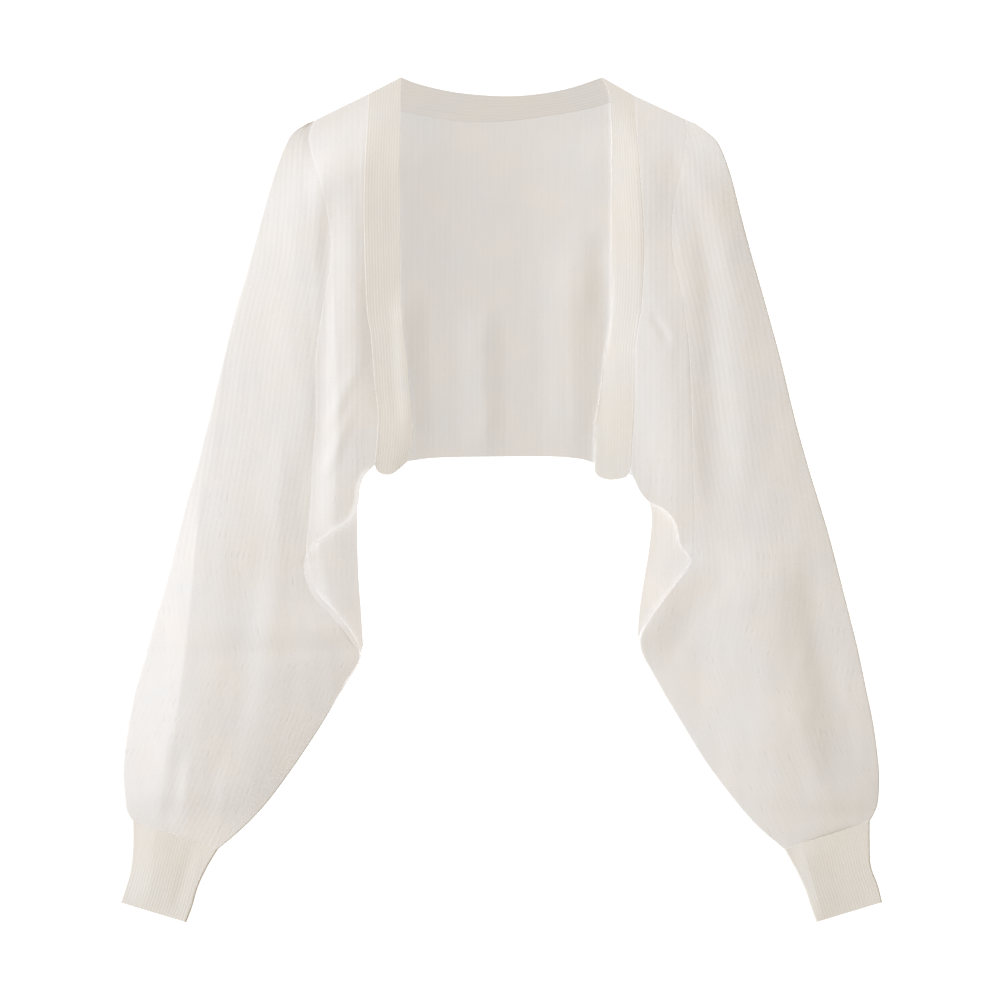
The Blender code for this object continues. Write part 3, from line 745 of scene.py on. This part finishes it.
def yarn(name, colour, roughness, dash_share, line_pitch, painted_shade_across=0.0, painted_light_on_drops=0.0):
    material = bpy.data.materials.new(name)
    material.use_nodes = True
    tree = material.node_tree
    nodes, links = tree.nodes, tree.links
    shader = nodes["Principled BSDF"]
    shader.inputs["Roughness"].default_value = roughness
    shader.inputs["Specular IOR Level"].default_value = SPECULAR
    shader.inputs["Sheen Weight"].default_value = SHEEN
    shader.inputs["Sheen Roughness"].default_value = SHEEN_ROUGHNESS
    knit = nodes.new("ShaderNodeUVMap")
    knit.uv_map = "knit"
    parts = nodes.new("ShaderNodeSeparateXYZ")
    links.new(knit.outputs[0], parts.inputs[0])
    wale = maths(tree, "DIVIDE", parts.outputs["X"], MM)
    course = maths(tree, "DIVIDE", parts.outputs["Y"], MM)
    height = stitch_height(tree, wale, course)
    place = nodes.new("ShaderNodeTexCoord").outputs["Object"]
    where = nodes.new("ShaderNodeSeparateXYZ")
    links.new(place, where.inputs[0])
    low_down = mapped(tree, where.outputs["Y"], *DASHES_THIN_OUT, 1.0, FEW_DASHES)
    mark = maths(tree, "MULTIPLY", dashes(tree, wale, course), maths(tree, "MULTIPLY", low_down, dash_share))
    line = maths(tree, "SINE", maths(tree, "MULTIPLY", wale, 2 * pi / line_pitch))
    drawn = packed(tree, maths(tree, "DIVIDE", wale, STREAK_WIDE), maths(tree, "DIVIDE", course, STREAK_TALL))
    streaks = noise(tree, drawn, 2.0)
    slow = noise(tree, vector_maths(tree, "MULTIPLY", place, (1 / (MOTTLE_SIZE * MM),) * 3), 3.0)
    shade = maths(tree, "ADD", 1.0, maths(tree, "MULTIPLY", maths(tree, "SUBTRACT", streaks, 0.5), STREAK))
    shade = maths(tree, "ADD", shade, maths(tree, "MULTIPLY", maths(tree, "SUBTRACT", slow, 0.5), MOTTLE))
    shade = maths(tree, "ADD", shade, maths(tree, "MULTIPLY", line, LINE_SHADE))
    # painted shade in the dashes
    shade = maths(tree, "SUBTRACT", shade, maths(tree, "MULTIPLY", mark, DASH_PAINTED_SHADE))
    # painted shade in the grooves between the stitches
    groove = maths(tree, "SUBTRACT", 1.0, height)
    shade = maths(tree, "SUBTRACT", shade, maths(tree, "MULTIPLY", groove, GROOVE_PAINTED_SHADE))
    # painted shade: the back is darker towards its left, in the shade of the left band, and paler to its
    # right
    painted_across = mapped(tree, where.outputs["X"], *PAINTED_SHADE_ACROSS, -painted_shade_across, painted_shade_across)
    shade = maths(tree, "ADD", shade, painted_across)
    # painted light: the back's side drops, out of the shade of the fronts, are paler
    shade = maths(tree, "ADD", shade, mapped(tree, where.outputs["Y"], *PAINTED_LIGHT_BELOW, painted_light_on_drops, 0.0))
    tint = nodes.new("ShaderNodeMix")
    tint.data_type = "RGBA"
    links.new(mapped(tree, slow, *TINT_CHANGE, 0.0, 1.0), tint.inputs["Factor"])
    tint.inputs[6].default_value = COOL_TINT
    tint.inputs[7].default_value = WARM_TINT
    coloured = vector_maths(tree, "MULTIPLY", tint.outputs[2], colour)
    scaled = nodes.new("ShaderNodeVectorMath")
    scaled.operation = "SCALE"
    links.new(coloured, scaled.inputs[0])
    links.new(shade, scaled.inputs["Scale"])
    links.new(scaled.outputs[0], shader.inputs["Base Color"])
    relief = maths(tree, "SUBTRACT", height, mark)
    bump = nodes.new("ShaderNodeBump")
    bump.inputs["Strength"].default_value = BUMP_STRENGTH
    bump.inputs["Distance"].default_value = BUMP_DEPTH * MM
    links.new(relief, bump.inputs["Height"])
    links.new(bump.outputs[0], shader.inputs["Normal"])
    print(f"{name}: {len(nodes)} nodes")
    return material


KNIT = yarn("off_white_knit", (0.88, 0.855, 0.83), 0.9, 1.0, WALE_PITCH)
# the back: its duller purl side, darkened further with painted shade from the fronts above it
PURL_SIDE_AND_PAINTED_SHADE = yarn("off_white_purl_side_painted_shade", (0.792, 0.765, 0.733), 0.92, 0.5, WALE_PITCH,
            painted_shade_across=0.045, painted_light_on_drops=0.105)
# the neckband: rib, darkened with painted shade
NECK_RIB_PAINTED_SHADE = yarn("off_white_rib_inside_painted_shade", (0.757, 0.723, 0.68), 0.9, 0.0, RIB_PITCH, painted_shade_across=0.02)
RIB = yarn("off_white_rib", (0.855, 0.82, 0.77), 0.88, 0.0, RIB_PITCH)


# %% [markdown]
# ## The sleeves
# A balloon sleeve lies as a flat tube: its underside on the table, its upper side a low dome that turns
# over at the outer fold.  Down to the underarm the inner side is open, because the upper layer is sewn to
# the front, or ends in a free edge, while the lower one is sewn to the back.  Each row of points is one
# cross section of that tube.

# %% Rows, columns and rounded folds
SIDES = {"left": -1, "right": 1}
SLEEVE_ROW = 4.0
TOP_COLUMNS = 118
UNDER_COLUMNS = 56
FOLD_COLUMNS = 8
GATHER_ROWS = 9
EDGE_SAMPLES = 400
SLEEVE_SAMPLES = 1200
EDGE_ROUND = 0.6
FOLD_END = 2.5  # the folds die away this far from the sleeve's outer edge
UNDER_ROUND = 2.5
FOLD_LEVEL = 2.0  # height of the middle of the folded edge
UNDERARM_LOOP = 1.5  # the inner fold stands this much higher at the underarm
LOOP_ROWS = 4  # and comes down again over this many sections
EDGE_LEVEL = 2.9  # height of the upper layer beside a fold
ARMHOLE_DIP = 0.08
BAND_DIP = 0.12
SEAM_REACH = 2.6
CUFF_GATHER = 13.0
CUFF_SLOPE = 45.0
CUFF_LEVEL = 3.5
CROWN_POWER = 1.8
SLOPE_POWER = 1.5
OPEN_DOME = 0.3
CLOSING_ROW = {"left": 13.2, "right": 13.7}
JOINING_ROW = {"left": 9.0, "right": 13.0}  # from here down the upper layer becomes a dome
JOINING_ROWS = 6
SEWN_GAP = 0.15  # from the seam line to the edge of the cloth
TUCK_REACH = 15.0  # over this the lower layer comes down to the table


def turned(distance, radius):
    """How far a round edge has risen at a distance from it: a quarter of an ellipse."""
    return np.sqrt(np.clip(1 - (1 - np.clip(distance / radius, 0, 1)) ** 2, 0, 1))


def seam_dip(distance, depth):
    """The cloth dips into a seam."""
    return depth * (1 - turned(distance, SEAM_REACH))


def inner_fold(t):
    """Height of the middle of the inner fold: highest at the underarm, where the layers part."""
    risen = UNDERARM_LOOP * smooth(t - UNDERARM_ROW + 1)
    return FOLD_LEVEL + risen * (1 - smooth((t - UNDERARM_ROW) / LOOP_ROWS))


def distances(width, middle_columns):
    """Distances across a section, closer together where its two ends turn over."""
    radius = np.minimum(EDGE_ROUND, width / 3)[:, None]
    turn = 1 - np.cos(pi / 2 * np.arange(FOLD_COLUMNS) / FOLD_COLUMNS)[None, :]
    middle = radius + (width[:, None] - 2 * radius) * even(middle_columns)[None, :]
    return np.concatenate([radius * turn, middle, (width[:, None] - radius * turn)[:, ::-1]], axis=1)


def rows_between(sections, first, last, count):
    """Fractional section numbers at even steps along the inner edge."""
    fine = np.linspace(first, last, EDGE_SAMPLES)
    walked = run_lengths(spline(sections, fine)[:, 2:4])
    return np.interp(even(count) * walked[-1], walked, fine)


def sleeve_rows(sections):
    """Fractional section numbers down the sleeve, closer together where it gathers into the cuff."""
    fine = np.linspace(0, len(sections) - 1, SLEEVE_SAMPLES)
    values = spline(sections, fine)
    walked = run_lengths((values[:, 0:2] + values[:, 2:4]) / 2)
    body = walked[-1] - CUFF_GATHER
    steps = body * even(round(body / SLEEVE_ROW))
    last = body + CUFF_GATHER * np.sin(pi / 2 * even(GATHER_ROWS)[1:])
    places = np.concatenate([steps, last])
    return np.interp(places, walked, fine), places


print("rows of points down the left sleeve:", len(sleeve_rows(SLEEVE_LEFT)[1]))


# %% [markdown]
# ## Where a sleeve is not sewn
# Between the front's hem and the underarm the sleeve's upper layer ends in a free edge.  These functions
# give that edge, the direction from it into the cloth and how much of it curls.

# %% The free edge of a sleeve
CURL_FADE = 0.12
EDGE_STEP = 0.1  # in sections, to both sides of a point, for the edge's direction


def free_edge(sections, t, outward):
    """Points of the sleeve's free edge and the directions from them into the sleeve."""
    points = spline(sections, t)[:, 2:4]
    after = spline(sections, np.minimum(t + EDGE_STEP, UNDERARM_ROW))[:, 2:4]
    run = after - spline(sections, np.maximum(t - EDGE_STEP, NOTCH_ROW))[:, 2:4]
    run /= np.linalg.norm(run, axis=1)[:, None]
    inward = np.stack([run[:, 1], -run[:, 0]], axis=1) * -outward
    return points, inward


def curl_width(share, side):
    """The curl starts and ends at nothing where it runs into a seam."""
    return CURL_WIDE[side] * smooth(share / CURL_FADE) * smooth((1 - share) / CURL_FADE)


print("the curl at the middle of the left edge is", round(curl_width(0.5, "left"), 1), "mm wide")


# %% [markdown]
# ## Making the sleeves
# A maker sews the tube up along the arm.  Here an upper and a lower grid share their rows of points at
# the outer fold and, from the underarm down, at the inner fold, so they join into one mesh that is open
# only where the real one is.  A cloth simulation would lay such a tube too, but not in these folds.

# %% Sleeve surfaces
def sleeve(side, sections):
    outward = SIDES[side]
    t, course = sleeve_rows(sections)
    values = spline(sections, t)
    outer, inner = values[:, 0:2], values[:, 2:4]
    under, puff = np.maximum(values[:, 4], 0), np.maximum(values[:, 5], 0)
    free = (t > NOTCH_ROW) & (t < UNDERARM_ROW)
    points, inward = free_edge(sections, t[free], outward)
    curl = curl_width((t[free] - NOTCH_ROW) / (UNDERARM_ROW - NOTCH_ROW), side)
    inner[free] = points + inward * curl[:, None]
    across = outer - inner
    full = np.linalg.norm(across, axis=1)
    across /= full[:, None]
    inner = inner + across * np.where(t >= UNDERARM_ROW, KNIT_WALL / 2, SEWN_GAP)[:, None]
    outer = outer - across * KNIT_WALL / 2
    width = np.linalg.norm(outer - inner, axis=1)
    closed = smooth((t - CLOSING_ROW[side]) / (UNDERARM_ROW - CLOSING_ROW[side]))[:, None]
    to_cuff = (course[-1] - course)[:, None]
    grids = []
    for upper, columns in ((True, TOP_COLUMNS), (False, UNDER_COLUMNS)):
        off_inner = distances(width, columns)
        off_outer = width[:, None] - off_inner
        share = off_inner / width[:, None]
        plan = inner[:, None] + across[:, None] * off_inner[..., None]
        if upper:
            sewn = upper_level(plan) - EDGE_LEVEL - fold_heights(UPPER_FOLDS, plan)
            open_dome = OPEN_DOME * puff[:, None] * 4 * share * (1 - share)
            closed_dome = puff[:, None] * (1 - np.abs(2 * share - 1) ** CROWN_POWER)
            open_level = EDGE_LEVEL + sewn * (1 - share ** SLOPE_POWER) + open_dome
            joining = smooth((t - JOINING_ROW[side]) / JOINING_ROWS)[:, None]
            closed_level = EDGE_LEVEL + sewn * (1 - closed) * (1 - smooth(share)) + closed_dome
            hung = open_level * (1 - joining) + closed_level * joining
            folds = fold_heights(UPPER_FOLDS, plan) * shoulder_ease(plan)
            level = hung + folds * turned(off_outer, FOLD_END)
            level = at_least(level, KNIT_WALL * 1.5 + THIN_AIR)
            gathered = (turned(to_cuff, CUFF_GATHER) + smooth(to_cuff / CUFF_SLOPE)) / 2
            level = CUFF_LEVEL + (level - CUFF_LEVEL) * gathered
            inner_turn = 1 - closed * (1 - turned(off_inner, np.minimum(EDGE_ROUND, width[:, None] / 3)))
            outer_turn = turned(off_outer, np.minimum(EDGE_ROUND, width[:, None] / 3))
        else:
            seam = inner + across * (under * (1 - closed[:, 0]))[:, None]
            near = (1 - share)[..., None]
            plan = plan + near * (seam - inner)[:, None]
            tucked = (lower_level(plan) - KNIT_WALL / 2) * (1 - smooth(off_inner / TUCK_REACH))
            level = KNIT_WALL / 2 + tucked * (1 - closed)
            inner_turn = 1 - closed * (1 - turned(off_inner, UNDER_ROUND))
            outer_turn = turned(off_outer, UNDER_ROUND)
        fold = inner_fold(t)[:, None] * (1 - share) + FOLD_LEVEL * share
        height = fold + (level - fold) * inner_turn * outer_turn
        wale = (share - 0.5) * full[:, None]
        grids.append(grid(plan, height, wale, np.repeat(course[:, None], wale.shape[1], 1),
                          turned_over=upper == (outward < 0)))
    return cloth(f"sleeve_{side}_knit", mesh_from(f"sleeve_{side}", grids), KNIT_WALL, WALE_PITCH, WALE_DEPTH,
                 KNIT_UNEVEN, KNIT, f"sleeve_{side}")


sleeves = {"left": sleeve("left", SLEEVE_LEFT), "right": sleeve("right", SLEEVE_RIGHT)}


# %% [markdown]
# ## The cuffs
# A rib cuff is a short tube, drawn in and pressed flat by its own weight, with its mouth open.  The ribs
# run down the arm.

# %% Cuff surfaces
CUFF_ROW = 3.0
CUFF_COLUMNS = 132
CUFF_ROUND = 1.0
CUFF_TURN = 6  # points round each fold
CUFF_SAMPLES = 200
CUFF_DEEPEST = -1.0  # no hollow sinks further than this
CUFF_FOLDS = [
    Fold(-292, -260, -295, -310, -302, -360, 25, 40, 1.3, 0.4),
    Fold(-262, -290, -268, -318, -278, -355, 9, 10, -0.3),
    Fold(252, -285, 264, -322, 276, -365, 12, 30, 1.1, 0.5),
]


def cuff(side, sections):
    outward = SIDES[side]
    steps = np.linspace(0, len(sections) - 1, CUFF_SAMPLES)
    fine = spline(sections, steps)
    walked = run_lengths((fine[:, 0:2] + fine[:, 2:4]) / 2)
    count = round(walked[-1] / CUFF_ROW)
    t = np.interp(even(count) * walked[-1], walked, steps)
    values = spline(sections, t)
    outer, inner = values[:, 0:2], values[:, 2:4]
    across = outer - inner
    full = np.linalg.norm(across, axis=1)
    across /= full[:, None]
    inner = inner + across * RIB_WALL / 2
    width = full - RIB_WALL
    course = even(count) * walked[-1]
    turn = CUFF_ROUND * (1 - np.cos(pi / 2 * np.arange(CUFF_TURN) / CUFF_TURN))
    grids = []
    for upper in (True, False):
        middle = CUFF_ROUND + (width[:, None] - 2 * CUFF_ROUND) * even(CUFF_COLUMNS)[None, :]
        start, end = np.repeat(turn[None], len(t), 0), width[:, None] - turn[None, ::-1]
        off_inner = np.concatenate([start, middle, end], axis=1)
        plan = inner[:, None] + across[:, None] * off_inner[..., None]
        rim = np.minimum(off_inner, width[:, None] - off_inner)
        level = RIB_WALL / 2
        if upper:
            level = CUFF_LEVEL + np.maximum(fold_heights(CUFF_FOLDS, plan), CUFF_DEEPEST)
        fold = (CUFF_LEVEL + RIB_WALL / 2) / 2
        height = fold + (level - fold) * turned(rim, CUFF_ROUND)
        wale = off_inner - width[:, None] / 2
        grids.append(grid(plan, height, wale, np.repeat(course[:, None], wale.shape[1], 1),
                          turned_over=upper == (outward < 0)))
    return cloth(f"cuff_{side}_rib", mesh_from(f"cuff_{side}", grids), RIB_WALL, RIB_PITCH, RIB_DEPTH,
                 RIB_UNEVEN, RIB, f"cuff_{side}")


cuffs = {"left": cuff("left", CUFF_LEFT), "right": cuff("right", CUFF_RIGHT)}


# %% [markdown]
# ## The back
# The back lies under everything.  It is one field from the neck to the short hem, and on each side it
# runs on down to the underarm, where a strip of it shows beside the sleeve.

# %% Back surfaces
BACK_ROWS = 84
DROP_ROWS = 34
STRIP_COLUMNS = 34
MIDDLE_COLUMNS = 150


def back_armhole(sections, first, last, count, outward):
    values = spline(sections, rows_between(sections, first, last, count))
    return values[:, 2:4] + np.stack([outward * values[:, 4], np.zeros(len(values))], axis=1)


def field(left, right, top, bottom, down, wide):
    plan = filled(left, right, top, bottom, down, wide)
    return grid(plan, lower_level(plan), plan[..., 0], SHOULDER_Y - plan[..., 1])


def back():
    down = even(BACK_ROWS)
    seams = {"left": along(BAND_SEAM_LEFT, down), "right": along(BAND_SEAM_RIGHT, down)}
    seams["right"][-1] = BACK_HEM[-1]
    middle = even(MIDDLE_COLUMNS)
    neck_line, hem = along(NECK_SEAM, middle), along(BACK_HEM, middle)
    grids = [field(seams["left"], seams["right"], neck_line, hem, down, middle)]
    strip = even(STRIP_COLUMNS)
    halves = (("left", SLEEVE_LEFT, DROP_EDGE_LEFT), ("right", SLEEVE_RIGHT, DROP_EDGE_RIGHT))
    for side, sections, drop_edge in halves:
        outward = SIDES[side]
        arm = back_armhole(sections, 0, HEM_ROW, BACK_ROWS, outward)
        low_arm = back_armhole(sections, HEM_ROW, UNDERARM_ROW, DROP_ROWS, outward)
        seam, edge = seams[side], along(drop_edge, even(DROP_ROWS))
        for a, b, rows in ((arm, seam, BACK_ROWS), (low_arm, edge, DROP_ROWS)):
            if outward > 0:
                a, b = b, a
            top, bottom = straight(a[0], b[0], strip), straight(a[-1], b[-1], strip)
            grids.append(field(a, b, top, bottom, even(rows), strip))
    return cloth("back_knit", mesh_from("back", grids), KNIT_WALL, WALE_PITCH, WALE_DEPTH,
                 BACK_UNEVEN, PURL_SIDE_AND_PAINTED_SHADE, "back")


back_piece = back()


# %% [markdown]
# ## Free edges that curl
# Plain knit curls where it isn't sewn.  The photograph shows this on the left, so there the last rows of
# points rise a little towards the edge.  On the right the edge is a plain cut one.

# %% Curled edges
Turn = namedtuple("Turn", "inset rise")
CURL_LONG = 7.0  # length of yarn pattern on a curl
CURL = [Turn(1.0, 0.0), Turn(0.8, 0.03), Turn(0.6, 0.09), Turn(0.4, 0.18), Turn(0.2, 0.28), Turn(0.0, 0.36)]


def curled(outline, inward, top, width):
    """Plan and height of a curled edge, from the plain cloth up to its raised outline."""
    turns = np.array(CURL)
    inset = turns[:, :1] * width[None]
    fade = np.clip(width / width.max(), 0, 1)
    return outline[None] + inward[None] * inset[..., None], top[None] + turns[:, 1:] * fade[None]


print("a curled edge rises by", CURL[-1].rise, "mm")


# %% [markdown]
# ## The fronts
# Each front is a narrow panel between the armhole and the band.  It dips a little into both seams, and it
# ends in the slanting hem, where the left one takes its curl.  A grid that fills its four edges needs no
# trimming and follows them with its rows.

# %% Front surfaces
FRONT_ROWS = 96
FRONT_COLUMNS = 46
FRONT_DIP = 0.7 * BAND_DIP
SEAM_FADE = 30.0  # the dips into the seams grow over this length below the shoulder line


def across_rows(plan):
    """Distance of each point from the first column of its row."""
    steps = np.linalg.norm(np.diff(plan, axis=1), axis=2)
    return np.concatenate([np.zeros((len(plan), 1)), np.cumsum(steps, axis=1)], axis=1)


def sides_of(path):
    """Unit directions to the left of a path."""
    run = np.gradient(path, axis=0)
    run /= np.linalg.norm(run, axis=1)[:, None]
    return np.stack([-run[:, 1], run[:, 0]], axis=1)


def front(side, sections, band_seam, hem_turns):
    outward = SIDES[side]
    down, wide = even(FRONT_ROWS), even(FRONT_COLUMNS)
    arm = spline(sections, rows_between(sections, 0, NOTCH_ROW, FRONT_ROWS))[:, 2:4]
    seam = along(band_seam, down)
    outline = along(hem_turns, wide)
    inward = sides_of(outline) * -outward
    width = curl_width(wide, side)
    hem = outline + inward * width[:, None]
    arm[-1], seam[-1] = hem[0], hem[-1]
    plan = filled(arm, seam, straight(arm[0], seam[0], wide), hem, down, wide)
    off_arm = across_rows(plan)
    off_band = off_arm[:, -1:] - off_arm
    ease = smooth((SHOULDER_Y - plan[..., 1]) / SEAM_FADE)
    height = upper_level(plan) - (seam_dip(off_arm, ARMHOLE_DIP) + seam_dip(off_band, FRONT_DIP)) * ease
    grids = [grid(plan, height, plan[..., 0], SHOULDER_Y - plan[..., 1], turned_over=outward > 0)]
    if CURL_WIDE[side]:
        curl, curl_height = curled(outline, inward, height[-1], width)
        wale = np.repeat(curl[:1, :, 0], len(CURL), 0)
        course = SHOULDER_Y - curl[:1, :, 1] + np.linspace(0, CURL_LONG, len(CURL))[:, None]
        grids.append(grid(curl, curl_height, wale, course, turned_over=outward > 0))
    return cloth(f"front_{side}_knit", mesh_from(f"front_{side}", grids), KNIT_WALL, WALE_PITCH, WALE_DEPTH,
                 KNIT_UNEVEN, KNIT, f"front_{side}")


fronts = {
    "left": front("left", SLEEVE_LEFT, BAND_SEAM_LEFT, FRONT_HEM_LEFT),
    "right": front("right", SLEEVE_RIGHT, BAND_SEAM_RIGHT, FRONT_HEM_RIGHT),
}


# %% [markdown]
# ## The sleeve's own curled edge
# The same curl runs on along the free edge of the left sleeve.  It is a thin strip of its own, because
# its cloth is finer there than the sleeve's wall.

# %% The curled edge of the left sleeve, between the front's hem and the underarm
EDGE_ROWS = 60


def sleeve_curl(side, sections):
    outward = SIDES[side]
    t = rows_between(sections, NOTCH_ROW, UNDERARM_ROW, EDGE_ROWS)
    outline, inward = free_edge(sections, t, outward)
    width = curl_width((t - NOTCH_ROW) / (UNDERARM_ROW - NOTCH_ROW), side)
    edge = outline + inward * width[:, None]
    closed = smooth((t - CLOSING_ROW[side]) / (UNDERARM_ROW - CLOSING_ROW[side]))
    top = upper_level(edge) * (1 - closed) + inner_fold(t) * closed
    curl, curl_height = curled(outline, inward, top, width)
    wale = np.repeat(np.linspace(0, CURL_LONG, len(CURL))[:, None], len(t), 1)
    course = np.repeat(run_lengths(outline)[None], len(CURL), 0)
    strip = grid(curl, curl_height, wale, course, turned_over=outward > 0)
    mesh = mesh_from(f"sleeve_{side}_edge", [strip])
    return cloth(f"sleeve_{side}_curled_edge", mesh, CURL_WALL, WALE_PITCH, 0.0, 0.0, KNIT)


curl_left = sleeve_curl("left", SLEEVE_LEFT)


# %% [markdown]
# ## The rib bands
# One rib strip runs up each open front and round the back neck.  Its ribs run along its length.  The
# bands stand a little proud of the fronts at the seam and slope down to the back.

# %% Band surfaces
BAND_ROWS = 110
BAND_COLUMNS = 60
BAND_INNER = 2.5  # least height of a band's inner edge
BAND_AIR = 0.1  # between a band and the back below it
HALF_WALLS = (KNIT_WALL + RIB_WALL) / 2
BAND_END_FROM = 36.0  # below this the band sinks a little towards its end
BAND_END_LONG = 14.0
BAND_END_DROP = 0.15
BAND_FOLDS = [
    Fold(-84, 190, -80, 110, -75, 40, 14, 8, 0.9),
    Fold(86, 130, 84, 90, 82, 40, 9, 12, -0.4),
    Fold(114, 370, 116, 190, 112, 60, 26, 12, 0.8),
]


def band(side, seam_turns, edge_turns, end_turns):
    outward = SIDES[side]
    down, wide = even(BAND_ROWS), even(BAND_COLUMNS)
    seam, edge, end = along(seam_turns, down), along(edge_turns, down), along(end_turns, wide)
    plan = filled(seam, edge, straight(seam[0], edge[0], wide), end, down, wide)
    off_seam = across_rows(plan)
    width = off_seam[:, -1:]
    share = off_seam / width
    sewn = upper_level(seam)[:, None]
    ease = shoulder_ease(plan)
    above_back = lower_level(edge)[:, None] + HALF_WALLS + BAND_AIR
    free = at_least(above_back, BAND_INNER) * ease + sewn[0] * (1 - ease)
    height = sewn * (1 - share) + free * share + BAND_PROUD * ease * (1 - share)
    height = height + fold_heights(BAND_FOLDS, plan) - seam_dip(off_seam, BAND_DIP) * ease
    height = height - BAND_END_DROP * smooth((BAND_END_FROM - plan[..., 1]) / BAND_END_LONG)
    height = at_least(height, lower_level(plan) + HALF_WALLS + BAND_AIR)
    course = np.repeat(run_lengths(seam)[:, None], len(wide), 1)
    mesh = mesh_from(f"band_{side}", [grid(plan, height, off_seam, course, turned_over=outward > 0)])
    return cloth(f"band_{side}_rib", mesh, RIB_WALL, RIB_PITCH, RIB_DEPTH,
                 RIB_UNEVEN, RIB, f"band_{side}")


bands = {
    "left": band("left", BAND_SEAM_LEFT, BAND_EDGE_LEFT, BAND_END_LEFT),
    "right": band("right", BAND_SEAM_RIGHT, BAND_EDGE_RIGHT, BAND_END_RIGHT),
}

# %% [markdown]
# ## The neckband
# The strip that runs on round the back neck shows its inner side, and its colour is darkened with painted
# shade.  It lies flat between the neck's edge and the seam of the back, so one grid between two curves is
# enough.

# %% Neckband surface
NECK_ROWS = 46
NECK_COLUMNS = 90
NECK_DIP = 0.5 * BAND_DIP


def neckband():
    down, wide = even(NECK_ROWS), even(NECK_COLUMNS)
    top, seam = along(NECK_TOP, wide), along(NECK_SEAM, wide)
    plan = filled(straight(top[0], seam[0], down), straight(top[-1], seam[-1], down), top, seam, down, wide)
    depth = run_lengths(plan[:, len(wide) // 2])[:, None]
    level = KNIT_WALL * 1.5 + THIN_AIR - seam_dip(depth[-1] - depth, NECK_DIP)
    height = np.repeat(level, len(wide), 1)
    wale = np.repeat(depth, len(wide), 1)
    course = np.repeat(run_lengths(seam)[None], len(down), 0)
    mesh = mesh_from("neckband", [grid(plan, height, wale, course)])
    return cloth("neckband_rib", mesh, RIB_WALL, RIB_PITCH, RIB_DEPTH,
                 NECK_UNEVEN, NECK_RIB_PAINTED_SHADE, "neckband")


neck = neckband()

# %% [markdown]
# ## The table, the light and the camera
# The photograph is a catalogue cut-out on plain white, taken from straight above, with soft light from
# the upper left.

# %% Table
table_mesh = bpy.data.meshes.new("table")
TABLE_HALF = 40.0
TABLE_LEVEL = -0.5 * MM
TABLE_GREY = 0.3
TABLE_GLOW = 0.95  # gives the plain white of a cut-out
corners = [(-1, -1), (1, -1), (1, 1), (-1, 1)]
table_points = [(x * TABLE_HALF, y * TABLE_HALF, TABLE_LEVEL) for x, y in corners]
table_mesh.from_pydata(table_points, [], [(0, 1, 2, 3)])
white = bpy.data.materials.new("white_table")
white.use_nodes = True
white_shader = white.node_tree.nodes["Principled BSDF"]
white_shader.inputs["Base Color"].default_value = (TABLE_GREY, TABLE_GREY, TABLE_GREY, 1)
white_shader.inputs["Roughness"].default_value = 1.0
white_shader.inputs["Specular IOR Level"].default_value = 0.0
white_shader.inputs["Emission Color"].default_value = (1, 1, 1, 1)
white_shader.inputs["Emission Strength"].default_value = TABLE_GLOW
table_mesh.materials.append(white)
table = bpy.data.objects.new("table", table_mesh)
bpy.context.scene.collection.objects.link(table)
print("table:", 2 * TABLE_HALF, "m wide")

# %% [markdown]
# ## Soft light
# A warm even room and one broad, cool window from the upper left.  The window casts no shadow, because
# the cut-out photograph has none, and the camera sees plain white behind the table.

# %% Light
ROOM_COLOUR = (1.049, 0.89, 0.636, 1)
ROOM_STRENGTH = 0.40
world = bpy.data.worlds.new("soft_room")
world.use_nodes = True
room = world.node_tree.nodes
room["Background"].inputs["Color"].default_value = ROOM_COLOUR
room["Background"].inputs["Strength"].default_value = ROOM_STRENGTH
backdrop = room.new("ShaderNodeBackground")  # what is seen behind the table's far edge
backdrop.inputs["Color"].default_value = (1, 1, 1, 1)
choice = room.new("ShaderNodeMixShader")
world.node_tree.links.new(room.new("ShaderNodeLightPath").outputs["Is Camera Ray"], choice.inputs[0])
world.node_tree.links.new(room["Background"].outputs[0], choice.inputs[1])
world.node_tree.links.new(backdrop.outputs[0], choice.inputs[2])
world.node_tree.links.new(choice.outputs[0], room["World Output"].inputs["Surface"])
bpy.context.scene.world = world


def soft_light(name, place, size, power, colour):
    lamp = bpy.data.lights.new(name, "AREA")
    lamp.shape = "RECTANGLE"
    lamp.size, lamp.size_y = size
    lamp.energy = power
    lamp.color = colour
    lamp.use_shadow = False
    light = bpy.data.objects.new(name, lamp)
    light.location = place
    light.rotation_euler = (-Vector(place)).to_track_quat("-Z", "Y").to_euler()
    bpy.context.scene.collection.objects.link(light)


soft_light("window", place=(-6.0, 3.2, 4.3), size=(5.0, 5.0), power=736.0, colour=(0.90, 0.982, 1.125))
print("light: a window and the room")

# %% [markdown]
# ## The camera
# Straight above, with a long lens, so the sleeves are not drawn apart towards the frame's edges.  A short
# lens nearer by would see the outer folds from their side.

# %% Camera
CAMERA_HEIGHT = 2.36
PIXEL = 0.85 * MM  # what one pixel of the photograph shows
camera = bpy.data.objects.new("camera", bpy.data.cameras.new("camera"))
camera.data.lens = 100
camera.data.sensor_width = 36
camera.location = (-PIXEL, -PIXEL, CAMERA_HEIGHT)
bpy.context.scene.collection.objects.link(camera)
bpy.context.scene.camera = camera
bpy.context.scene.view_settings.view_transform = "Standard"
print("camera:", CAMERA_HEIGHT, "m above the table")

# %% [markdown]
# ## The pieces, counted
# Sleeves and cuffs are tubes, and a front band is a plain strip.  The sleeves, fronts, bands and cuffs
# come in pairs, and with them go the neckband and the back.

# %% Pieces of cloth, counted
in_pairs = sum(len(pair) for pair in (sleeves, fronts, bands, cuffs))
print("sheets of cloth:", in_pairs, "in pairs, the neckband and the back")
